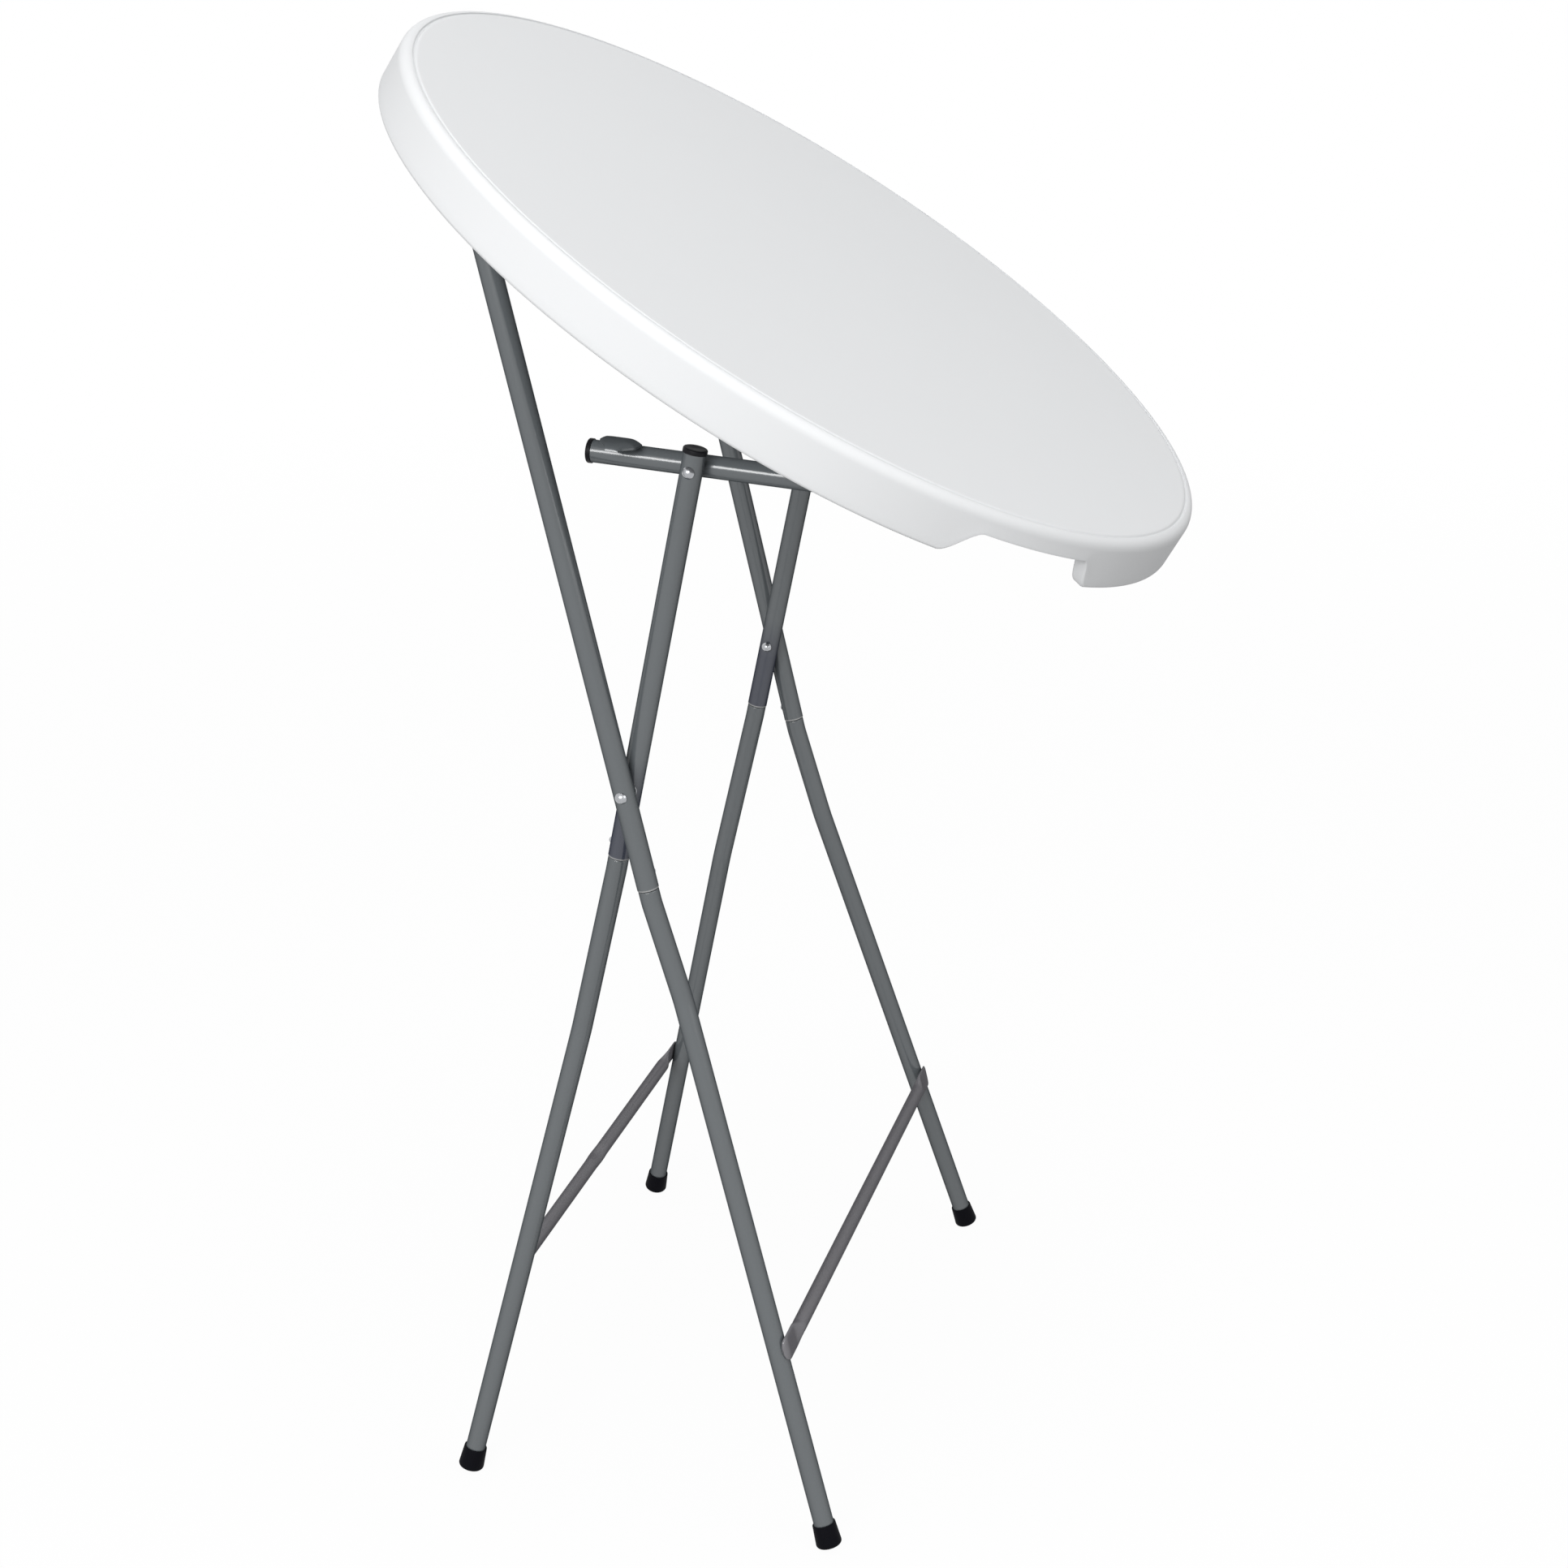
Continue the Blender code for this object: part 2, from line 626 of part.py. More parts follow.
def build_hinge_tube(name, leg_y, height, body):
    """The cross tube of one frame, butted against the elbows of its two sides."""
    half = leg_y - ELBOW_RADIUS - ELBOW_LEAD - SEAT_GAP
    place = Matrix.Translation((0.0, 0.0, height))
    tube = add_piece(name, hinge_tube_mesh(name, half), body, GREY_STEEL, place)
    add_wall(tube, TUBE_WALL)


# Legs

def bore_along_y(piece, name, centre):
    """A bolt hole right through a tube, along Y."""
    place = along(centre, (0.0, 1.0, 0.0)) @ Matrix.Rotation(math.pi / FASTENER_STEPS, 4, "Z")
    length = 2 * (UPPER_TUBE_RADIUS + CUT_OVERRUN)
    cut(piece, name, cylinder_mesh(name, [Matrix.Identity(4)], BOLT_HOLE_RADIUS, length,
                                   FASTENER_STEPS), place)


def button_facing(leg):
    """The way a snap button points: towards -X on two legs, and turned to the back on the others."""
    if leg.side * leg.lean > 0.0:
        return Vector((-1.0, 0.0, 0.0))
    return Vector((leg.lean * math.cos(BUTTON_TURN), math.sin(BUTTON_TURN), 0.0))


def button_centre(leg):
    """The point on the leg's axis level with the snap button."""
    return leg.mouth + Vector((0.0, 0.0, BUTTON_RISE))


def bore_for_button(piece, name, leg):
    """The hole of a snap button, through one wall of a tube."""
    outward = button_facing(leg)
    length = UPPER_TUBE_RADIUS + CUT_OVERRUN
    place = along(button_centre(leg) + outward * length / 2, outward)
    cut(piece, name, cylinder_mesh(name, [Matrix.Identity(4)], BUTTON_HOLE_RADIUS, length,
                                   FASTENER_STEPS), place)


def build_outer_upper_leg(end, leg, body):
    """An upper tube that turns inward at its top to meet the hinge tube."""
    name = "outer_upper_leg_" + end
    top = Vector((0.0, leg.y, PIVOT_TO_HINGE))
    inward = top - Vector((0.0, leg.side * (ELBOW_RADIUS + ELBOW_LEAD), 0.0))
    path = rounded_path([leg.mouth, top, inward], [ELBOW_RADIUS], [ELBOW_STEPS])
    tube = add_piece(name, swept_mesh(name, path, [UPPER_TUBE_RADIUS] * len(path)), body, GREY_STEEL)
    add_wall(tube, TUBE_WALL)
    bore_along_y(tube, name + "_pivot_hole", (0.0, leg.y, 0.0))
    bore_for_button(tube, name + "_button_hole", leg)


def build_inner_upper_leg(end, leg, body):
    """A straight upper tube with the knee bolt near its plugged top."""
    name = "inner_upper_leg_" + end
    path = [leg.mouth, Vector((0.0, leg.y, PIVOT_TO_KNEE + KNEE_TO_TUBE_END))]
    tube = add_piece(name, swept_mesh(name, path, [UPPER_TUBE_RADIUS] * len(path)), body, GREY_STEEL)
    add_wall(tube, TUBE_WALL)
    bore_along_y(tube, name + "_pivot_hole", (0.0, leg.y, 0.0))
    bore_along_y(tube, name + "_knee_hole", (0.0, leg.y, PIVOT_TO_KNEE))
    bore_for_button(tube, name + "_button_hole", leg)


def build_lower_leg(frame, end, leg, body):
    """A lower tube: its swaged neck fills the sleeve, and it bends outward on its way to the foot."""
    name = frame + "_lower_leg_" + end
    neck_top = leg.mouth + Vector((0.0, 0.0, SLEEVE_LENGTH))
    shoulder = leg.mouth - Vector((0.0, 0.0, SEAT_GAP))
    full = shoulder - Vector((0.0, 0.0, SWAGE_SHOULDER))
    tube_end = leg.up_from_foot(FOOT_FLOOR + SEAT_GAP)
    below = rounded_path([full, leg.kink, leg.bend, tube_end], [KINK_RADIUS, SPLAY_RADIUS],
                         [KINK_STEPS, SPLAY_STEPS])
    path = [neck_top, leg.mouth + Vector((0.0, 0.0, SEAT_GAP))] + below
    radii = [SWAGE_RADIUS] * 2 + [LOWER_TUBE_RADIUS] * len(below)
    tube = add_piece(name, swept_mesh(name, path, radii), body, GREY_STEEL)
    add_wall(tube, TUBE_WALL)
    bore_for_button(tube, name + "_button_hole", leg)


def foot_outline():
    """A rubber cup, wider at its rounded tread than at its lip, whose bore takes the tube's end."""
    bore = LOWER_TUBE_RADIUS + SEAT_GAP
    lip = arc_points((bore + FOOT_LIP / 2, FOOT_HEIGHT - FOOT_LIP / 2), FOOT_LIP / 2, math.pi, 0.0, 2)
    tread = arc_points((FOOT_FLAT_RADIUS, FOOT_EDGE_RADIUS), FOOT_EDGE_RADIUS, 0.0, -math.pi / 2, 3)
    return [(0.0, FOOT_FLOOR), (bore, FOOT_FLOOR), *lip, *tread, (0.0, 0.0)]


def build_foot(frame, end, leg, body):
    """The rubber foot on a lower tube, square to it."""
    add_turned(frame + "_foot_" + end, foot_outline(), FOOT_STEPS, body, BLACK_RUBBER,
               along(leg.foot, -leg.run))


def build_plug(name, place, body):
    """A plastic plug in the open end of an upper tube, with its cap outside."""
    cap = UPPER_TUBE_RADIUS + PLUG_OVERHANG
    stem = UPPER_TUBE_RADIUS - TUBE_WALL - SEAT_GAP
    add_turned(name, plug_outline(cap, stem), TUBE_SIDES, body, BLACK_PLASTIC, place)


# Braces

def brace_ring(y, leg_y, axis, hand, crimped):
    """One section of a brace at the place y across the table.

    It is round between the legs and pressed flat beside them, where it wraps the leg's side. The
    hand is 1 for a brace on the +X side of the legs and -1 for one on the other side."""
    reach = abs(y)
    flat_from = leg_y - BRACE_FLAT_REACH
    blend = min(1.0, max(0.0, (reach - flat_from + BRACE_TAPER) / BRACE_TAPER))
    blend = blend * blend * (3.0 - 2.0 * blend)
    half_x = BRACE_RADIUS + (BRACE_FLAT_THICKNESS / 2 - BRACE_RADIUS) * blend
    half_z = BRACE_RADIUS + (BRACE_FLAT_HEIGHT / 2 - BRACE_RADIUS) * blend
    if crimped and reach < BRACE_CRIMP_LENGTH / 2:
        press = BRACE_CRIMP_SHARE * (0.5 + 0.5 * math.cos(2 * math.pi * reach / BRACE_CRIMP_LENGTH))
        half_z = half_z * (1.0 - press)
        half_x = half_x * (1.0 + press / 2)
    wrap = LOWER_TUBE_RADIUS + SEAT_GAP + BRACE_FLAT_THICKNESS / 2
    past = max(0.0, reach - leg_y) / wrap
    centre_y = math.copysign(min(reach, leg_y) + wrap * math.sin(past), y)
    lean = math.copysign(past, y)
    ring = []
    for side in range(BRACE_SIDES):
        angle = 2 * math.pi * side / BRACE_SIDES
        offset = half_x * math.cos(angle)
        across = wrap * math.cos(past) + offset * math.cos(lean)
        ring.append(Vector((axis.x + hand * across, centre_y + offset * math.sin(lean),
                            axis.z + half_z * math.sin(angle))))
    return ring


def build_brace(name, legs, rise, hand, crimped, body):
    """A round brace with pressed ends that seat on the same side of both lower legs."""
    axis = legs["back"].up_from_foot(rise)
    leg_y = axis.y
    flat_from = leg_y - BRACE_FLAT_REACH
    stations = [flat_from - BRACE_TAPER + BRACE_TAPER * step / 3 for step in range(4)]
    stations += [leg_y, leg_y + BRACE_OVERHANG / 2, leg_y + BRACE_OVERHANG]
    if crimped:
        quarter = BRACE_CRIMP_LENGTH / 4
        stations = [quarter, 2 * quarter] + stations
        middle = [0.0]
    else:
        middle = []
    places = [-station for station in reversed(stations)] + middle + stations
    rings = [brace_ring(place, leg_y, axis, hand, crimped) for place in places]
    brace = add_piece(name, loft_mesh(name, rings), body, GREY_STEEL)
    for end, leg in legs.items():
        clear = cylinder_mesh(name + "_seat_" + end, [Matrix.Identity(4)],
                              LOWER_TUBE_RADIUS + SEAT_GAP, 2 * BRACE_FLAT_HEIGHT, BRACE_SEAT_SIDES)
        cut(brace, name + "_seat_" + end, clear, along(leg.up_from_foot(rise), leg.run))


# Bolts at the scissor and the knees

def build_pivot_bolts(body):
    """The scissor bolts: a domed head outside, a washer between the tubes and a cap nut inside."""
    seat = OUTER_LEG_Y + UPPER_TUBE_RADIUS + SEAT_GAP
    inside = INNER_LEG_Y - UPPER_TUBE_RADIUS - SEAT_GAP
    shank = seat - inside + NUT_HEIGHT / 2
    head = domed_outline(BOLT_HEAD_RADIUS, BOLT_HEAD_HEIGHT, BOLT_RADIUS, shank)
    middle = (OUTER_LEG_Y + INNER_LEG_Y) / 2
    for end, side in (("front", -1.0), ("back", 1.0)):
        outward = Vector((0.0, side, 0.0))
        add_turned("scissor_bolt_" + end, head, FASTENER_STEPS, body, BRIGHT_ZINC,
                   along(outward * seat, outward))
        add_turned("scissor_nut_" + end, nut_outline(), FASTENER_STEPS, body, BRIGHT_ZINC,
                   along(outward * inside, -outward))
        add_turned("scissor_washer_" + end, washer_outline(), FASTENER_STEPS, body, BRIGHT_ZINC,
                   along(outward * middle, outward))


def nut_outline():
    """A cap nut with a blind bore that takes the end of a bolt, its seat at Z = 0."""
    bore = BOLT_RADIUS + SEAT_GAP
    dome = domed_outline(NUT_RADIUS, NUT_HEIGHT, bore, 0.0)[:DOME_STEPS + 1]
    depth = NUT_HEIGHT / 2 + SEAT_GAP
    return dome + [(bore, 0.0), (bore, depth), (0.0, depth)]


def washer_outline():
    """A flat ring that fills the space between two tubes, centred on Z = 0."""
    half = PIVOT_GAP / 2 - SEAT_GAP
    bore = BOLT_HOLE_RADIUS
    return [(WASHER_RADIUS, half), (WASHER_RADIUS, -half), (bore, -half), (bore, half)]


def build_knee_bolts(inner_body, link_body):
    """The knee bolts. Each is parted where it enters the link, beyond the washer.

    The head and the first half stay with the leg, the other half and its cap nut with the link."""
    seat = INNER_LEG_Y + UPPER_TUBE_RADIUS + SEAT_GAP
    middle = INNER_LEG_Y - LINK_SPACING / 2
    parting = middle - PIVOT_GAP / 2 + SEAT_GAP / 2
    inside = LINK_Y - UPPER_TUBE_RADIUS - SEAT_GAP
    head = domed_outline(BOLT_HEAD_RADIUS, BOLT_HEAD_HEIGHT, BOLT_RADIUS,
                         seat - parting - SEAT_GAP / 2)
    tail = domed_outline(NUT_RADIUS, NUT_HEIGHT, BOLT_RADIUS, parting - inside - SEAT_GAP / 2)
    for end, side in (("front", -1.0), ("back", 1.0)):
        outward = Vector((0.0, side, 0.0))
        knee = Vector((0.0, 0.0, PIVOT_TO_KNEE))
        add_turned("knee_bolt_" + end, head, FASTENER_STEPS, inner_body, BRIGHT_ZINC,
                   along(outward * seat + knee, outward))
        add_turned("knee_washer_" + end, washer_outline(), FASTENER_STEPS, inner_body, BRIGHT_ZINC,
                   along(outward * middle + knee, outward))
        add_turned("knee_nut_" + end, tail, FASTENER_STEPS, link_body, BRIGHT_ZINC,
                   along(outward * inside - Vector((LINK_LENGTH, 0.0, 0.0)), -outward))


# Knee links

def build_link(end, side, body):
    """A knee link: its tail runs past the knee, and it turns inward to meet its cross tube."""
    name = "knee_link_" + end
    y = side * LINK_Y
    corner = Vector((0.0, y, 0.0))
    inward = corner - Vector((0.0, side * (ELBOW_RADIUS + ELBOW_LEAD), 0.0))
    tail = Vector((-LINK_LENGTH - LINK_TAIL, y, 0.0))
    path = rounded_path([tail, corner, inward], [ELBOW_RADIUS], [ELBOW_STEPS])
    tube = add_piece(name, swept_mesh(name, path, [UPPER_TUBE_RADIUS] * len(path)), body, GREY_STEEL)
    add_wall(tube, TUBE_WALL)
    bore_along_y(tube, name + "_knee_hole", (-LINK_LENGTH, y, 0.0))
    build_plug("link_plug_" + end, along(tail - Vector((SEAT_GAP, 0.0, 0.0)), (-1.0, 0.0, 0.0)), body)
    build_stop(end, side, body)


def build_stop(end, side, body):
    """The arched stop on the tail of a link, which lands on the inner leg when the knee is straight.

    The arch springs from the top of the link and crosses over to the plane of the leg, a little
    askew towards the end of the tail."""
    name = "link_stop_" + end
    foot = UPPER_TUBE_RADIUS + SEAT_GAP
    half_span = STOP_SPAN / 2
    centre_y = side * (LINK_Y + half_span - STOP_FOOT_SHIFT)
    centre_x = -LINK_LENGTH - STOP_DISTANCE
    rows = []
    for step in range(STOP_STEPS + 1):
        angle = math.pi * step / STOP_STEPS
        across = -math.cos(angle)
        rise = STOP_RISE * math.sin(angle)
        edge = max(0.0, half_span * abs(across) - half_span + STOP_CORNER)
        half_length = STOP_LENGTH / 2 - edge
        point_x = centre_x - STOP_SKEW / 2 * across
        point_y = centre_y + side * half_span * across
        rows.append([Vector((point_x - half_length, point_y, foot + rise)),
                     Vector((point_x + half_length, point_y, foot + rise))])
    shape = bmesh.new()
    lines = [[shape.verts.new(point) for point in row] for row in rows]
    for near, far in zip(lines, lines[1:]):
        shape.faces.new((near[0], near[1], far[1], far[0]))
    bmesh.ops.recalc_face_normals(shape, faces=shape.faces)
    mesh = bpy.data.meshes.new(name)
    shape.to_mesh(mesh)
    shape.free()
    if mesh.polygons[STOP_STEPS // 2].normal.z < 0.0:
        mesh.flip_normals()
    plate = add_piece(name, mesh, body, GREY_STEEL)
    wall = plate.modifiers.new("plate", "SOLIDIFY")
    wall.thickness = STOP_PLATE
    wall.offset = 1.0


# Snap buttons

def button_outline():
    """A round pin with a domed end, from the spring leaf in the bore to outside the sleeve."""
    root = bore_of_neck() - SPRING_THICKNESS
    tip = UPPER_TUBE_RADIUS + BUTTON_REACH
    dome = arc_points((0.0, tip - BUTTON_RADIUS), BUTTON_RADIUS, math.pi / 2, 0.0, DOME_STEPS)
    return [*dome, (BUTTON_RADIUS, root), (0.0, root)]


def bore_of_neck():
    """The radius at which a spring leaf clears the bore of a swaged neck."""
    half = SPRING_WIDTH / 2
    clear = SWAGE_RADIUS - TUBE_WALL - SEAT_GAP
    return math.sqrt(clear ** 2 - half ** 2)


def build_button(frame, end, leg, body):
    """A snap button on its own sliding axis, and the bent leaf that carries it in the bore."""
    outward = button_facing(leg)
    upward = Vector((0.0, 0.0, 1.0))
    centre = button_centre(leg)
    slide = add_axis(frame + "_button_axis_" + end, centre, along((0.0, 0.0, 0.0), outward), body)
    add_turned(frame + "_button_" + end, button_outline(), FASTENER_STEPS, slide, SPRING_STEEL)
    place = Matrix((outward, upward, outward.cross(upward))).transposed().to_4x4()
    place.translation = centre - upward * SPRING_LENGTH
    name = frame + "_spring_" + end
    leaf = leaf_outline(bore_of_neck() - SPRING_THICKNESS - SEAT_GAP)
    add_piece(name, outline_mesh(name, leaf, SPRING_WIDTH), slide, SPRING_STEEL,
              slide.matrix_local.inverted() @ place)


def leaf_outline(near):
    """A leaf bent back on itself: up the button's side, round below and up the far side.

    X runs towards the button and Y up the leg, with 0 level with the bend. The far side stands
    off the bore by the button's travel."""
    centre = (BUTTON_TRAVEL + RUNNING_GAP) / 2
    radius = near - centre
    outer = arc_points((centre, 0.0), radius, 0.0, -math.pi, 6)
    inner = arc_points((centre, 0.0), radius - SPRING_THICKNESS, -math.pi, 0.0, 6)
    high = SPRING_LENGTH + BUTTON_RADIUS
    far = centre - radius
    return [(near, high), *outer, (far, high), (far + SPRING_THICKNESS, high), *inner,
            (near - SPRING_THICKNESS, high)]


# Bodies

def model_middle():
    """The X of the middle of the table's footprint box, so that its origin lies below it."""
    outline = top_outline()
    cosine, sine = math.cos(TOP_TILT), math.sin(TOP_TILT)
    centre = HINGE + turn_about_y(TOP_TILT) @ Vector((HINGE_SPACING / 2, 0.0, HINGE_DEPTH))
    right = max(radius * cosine + height * sine for radius, height in outline)
    left = max(radius * cosine - height * sine for radius, height in outline)
    return centre.x + (right - left) / 2


def build():
    """The whole table."""
    root = add_axis("table_origin", (-model_middle(), 0.0, 0.0), Matrix.Identity(4))
    outer = add_axis("outer_frame_axis", PIVOT, turn_about_y(-OUTER_LEAN), root)
    inner = add_axis("inner_frame_axis", PIVOT, turn_about_y(INNER_LEAN), root)
    top = add_axis("top_axis", HINGE, turn_about_y(TOP_TILT), root)
    links = add_axis("link_axis", LINK_HINGE, turn_about_y(LINK_TILT), root)

    build_top(top)
    build_clamps(top)
    build_hinge_tube("hinge_cross_tube", OUTER_LEG_Y, PIVOT_TO_HINGE, outer)
    build_hinge_tube("link_cross_tube", LINK_Y, 0.0, links)
    for end in ("front", "back"):
        build_outer_upper_leg(end, OUTER_LEGS[end], outer)
        build_inner_upper_leg(end, INNER_LEGS[end], inner)
        knee_top = Vector((0.0, INNER_LEGS[end].y, PIVOT_TO_KNEE + KNEE_TO_TUBE_END + SEAT_GAP))
        build_plug("leg_plug_" + end, Matrix.Translation(knee_top), inner)
    for frame, legs, body in (("outer", OUTER_LEGS, outer), ("inner", INNER_LEGS, inner)):
        for end, leg in legs.items():
            build_lower_leg(frame, end, leg, body)
            build_foot(frame, end, leg, body)
            build_button(frame, end, leg, body)
    build_brace("outer_brace", OUTER_LEGS, OUTER_BRACE_RISE, 1.0, False, outer)
    build_brace("inner_brace", INNER_LEGS, INNER_BRACE_RISE, -1.0, True, inner)
    build_pivot_bolts(outer)
    build_knee_bolts(inner, links)
    for end, side in (("front", -1.0), ("back", 1.0)):
        build_link(end, side, links)


clear_scene()
PARTS = new_collection("folding_bistro_table")
CUTTERS = new_collection("cutters")
build()
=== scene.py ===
"""Looks for the folding bistro table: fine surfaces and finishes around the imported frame.

Every piece is worked out in the frame of the part that carries it. Those frames stand at the
scissor bolts, the hinge tube and the link tube, and lean with their part. Metres throughout.
"""
import json
import math

import bpy
import numpy as np
from mathutils import Matrix


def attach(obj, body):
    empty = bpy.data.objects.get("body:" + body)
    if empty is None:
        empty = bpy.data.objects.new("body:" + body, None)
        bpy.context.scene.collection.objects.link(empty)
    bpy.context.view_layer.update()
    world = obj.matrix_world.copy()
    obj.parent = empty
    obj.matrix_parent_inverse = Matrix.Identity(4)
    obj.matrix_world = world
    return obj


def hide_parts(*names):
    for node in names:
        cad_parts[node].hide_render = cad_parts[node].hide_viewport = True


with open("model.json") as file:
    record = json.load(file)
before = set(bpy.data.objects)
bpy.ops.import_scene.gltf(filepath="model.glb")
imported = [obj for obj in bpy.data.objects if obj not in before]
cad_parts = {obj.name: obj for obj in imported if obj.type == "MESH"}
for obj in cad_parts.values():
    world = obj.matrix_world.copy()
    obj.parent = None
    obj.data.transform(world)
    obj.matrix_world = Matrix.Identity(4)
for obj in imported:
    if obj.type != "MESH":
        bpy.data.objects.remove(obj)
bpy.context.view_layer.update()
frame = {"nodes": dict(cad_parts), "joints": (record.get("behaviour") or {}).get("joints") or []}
joint_place = {joint["name"]: np.array(joint["pos_m"])
               for joint in frame["joints"] if "pos_m" in joint}

# Leans of the four moving groups as the table stands, in degrees from upright or level
OUTER_LEAN = -14.11942
INNER_LEAN = 10.68058
TOP_TILT = 30.82900
LINK_TILT = 3.20593

# Camera
CAMERA_PLACE = (0.59990, -2.26118, 1.46993)
CAMERA_AZIMUTH = 15.065
CAMERA_ELEVATION = 20.100
CAMERA_ROLL = 0.820
CAMERA_LENS = 60.86
CAMERA_SENSOR = 36.0

# Round top
TOP_RADIUS = 0.3999
RIM_DEPTH = 0.0449
RIM_FLARE = 0.0012
RIM_WIDTH = 0.0140
RIM_DRAFT = 0.0048
RIM_EDGE = 0.0032
SHOULDER = 0.0090
GROOVE_INSET = 0.0115
GROOVE_HALF = 0.0021
GROOVE_DEPTH = 0.0014
GROOVE_FULLNESS = 0.7
PANEL_DEPTH = 0.0160
PANEL_FILLET = 0.0060
FIELD_START = 0.02
NOTCH_AZIMUTH = 41.0
NOTCH_ROOF = 0.0195
NOTCH_WALL_FOOT = -0.0880
NOTCH_WALL_TOP = -0.0640
NOTCH_SLOPE_TOP = 0.0520
NOTCH_SLOPE_FOOT = 0.0860
NOTCH_SPAN = (26.0, 56.0)
HINGE_DEPTH = 0.0260
HINGE_SPACING = 0.5083
FIELD_RINGS = 24
GROOVE_RINGS = 13
SHOULDER_STEPS = 14
FLANK_STEPS = 6
PANEL_RINGS = 20
RIM_SIDES = 480
NOTCH_SIDES = 260
AZIMUTH_DECIMALS = 5

# Tubes and legs
UPPER_RADIUS = 0.0096
LOWER_RADIUS = 0.0092
NECK_RADIUS = 0.0081
TUBE_WALL = 0.0012
MOUTH_EASE = 0.0007
# Length past the sleeve mouth at which its painted glint ends
GLINT_FADE = 0.0012
TUBE_SIDES = 56
ELBOW_STEPS = 24
KINK_STEPS = 10
PIVOT_TO_HINGE = 0.546
PIVOT_TO_KNEE = 0.288
LINK_LENGTH = 0.2503
OUTER_LEG_Y = 0.24135
LINK_SPACING = 0.0207
INNER_LEG_Y = OUTER_LEG_Y - LINK_SPACING
LINK_Y = INNER_LEG_Y - LINK_SPACING
ELBOW_RADIUS = 0.035
ELBOW_LEAD = 0.004
SLEEVE_LENGTH = 0.042
# Heights on the inner legs where the sleeves' painted shade stops being full and where it has
# faded out
SLEEVE_SHADE_ENDS = (-0.012, 0.030)
OUTER_LEG = {"y": OUTER_LEG_Y, "lean": 1.0, "joint": 0.0870, "bend": 0.1935, "length": 0.7125,
             "kink": 3.8, "splay": 7.1}
INNER_LEG = {"y": INNER_LEG_Y, "lean": -1.0, "joint": 0.0670, "bend": 0.242, "length": 0.6961,
             "kink": 1.5, "splay": 7.8}
KINK_LEAD = 0.0125
KINK_RADIUS = 0.100
SPLAY_RADIUS = 0.120
NECK_LEAD = 0.0004
LINK_TAIL = 0.0925
KNEE_TO_TUBE_END = 0.0152

# Feet, plugs, braces and the stops on the links
FOOT_HEIGHT = 0.0220
FOOT_LIP = 0.0012
FOOT_WALL = 0.0024
FOOT_FLOOR = 0.0045
FOOT_EDGE = 0.0034
FOOT_LIP_STEPS = 12
FOOT_EDGE_STEPS = 10
SEAT_GAP = 0.0003
PLUG_CAP = 0.0042
PLUG_OVERHANG = 0.0009
PLUG_EDGE = 0.0014
PLUG_STEM = 0.012
PLUG_DISH_DEPTH = 0.0004
PLUG_DISH_FLAT = 0.0030
PLUG_DISH_RADIUS = 0.0062
EDGE_STEPS = 8
BRACE_RADIUS = 0.0068
BRACE_FLAT_THICKNESS = 0.0032
BRACE_FLAT_HEIGHT = 0.0225
BRACE_FLAT_REACH = 0.018
BRACE_TAPER = 0.020
BRACE_OVERHANG = 0.0085
BRACE_CRIMP_LENGTH = 0.040
BRACE_CRIMP = 0.20
BRACE_SETTLE_RUN = 0.022
BRACE_NOSE = 0.0075
BRACE_NOSE_END = 0.30
BRACE_SQUARENESS = 0.42
BRACE_RINGS = 401
BRACE_SIDES = 48
OUTER_BRACE_RISE = 0.1915
INNER_BRACE_RISE = 0.191
INNER_BRACE_END = -0.0085
INNER_BRACE_SETTLE = 0.0055
STOP_DISTANCE = 0.064
STOP_LENGTH = 0.031
STOP_CORNER = 0.010
STOP_DROOP = 0.0040
STOP_PLATE = 0.0020
STOP_SPAN = 0.033
STOP_RISE = 0.0048
STOP_SKEW = 0.0045
STOP_FOOT_SHIFT = 0.0025
STOP_RINGS = 33
STOP_COLUMNS = 13

# Fasteners and snap buttons
BOLT_RADIUS = 0.0029
BOLT_HEAD_RADIUS = 0.0052
BOLT_HEAD_HEIGHT = 0.0030
NUT_RADIUS = 0.0048
NUT_HEIGHT = 0.0060
PIVOT_GAP = 0.0015
WASHER_RADIUS = 0.0075
BUTTON_RISE = 0.0135
BUTTON_RADIUS = 0.0030
BUTTON_REACH = 0.0020
BUTTON_TURN = 53.0
BUTTON_CROWN_SHARE = 0.95
BUTTON_ROOT = 0.004
SCREW_HEAD_RADIUS = 0.0040
SCREW_HEAD_HEIGHT = 0.0022
CLAMP_WIDTH = 0.020
CLAMP_THICKNESS = 0.0015
CLAMP_FLANGE = 0.016
CLAMP_STATION = 0.12915
CLAMP_SEAT_GAP = 0.0001
CLAMP_STEPS = 24
CLAMP_ROWS = 5
RUNNING_GAP = 0.0004
LATHE_SIDES = 48
DOME_STEPS = 12
ON_AXIS = 1e-7

# Angles between faces past which an edge is sharp, in degrees
TURNED_SHARP = 35.0
PRESSED_SHARP = 40.0
TUBE_SHARP = 50.0

# Colours
WHITE_PLASTIC = (0.80, 0.81, 0.82)
GREY_COAT = (0.115, 0.127, 0.135)
# Painted shade: bluish dark on the inner frame's sleeves, where the crossing legs shade them
SLEEVE_PAINTED_SHADE = (0.052, 0.058, 0.080)
# Painted light: the braces have the same coat as the legs, painted paler
BRACE_PAINTED_LIGHT = (0.190, 0.186, 0.200)
# Painted shade: nearly black in the gaps of the leg joints
SEAM_PAINTED_SHADE = (0.012, 0.012, 0.014)
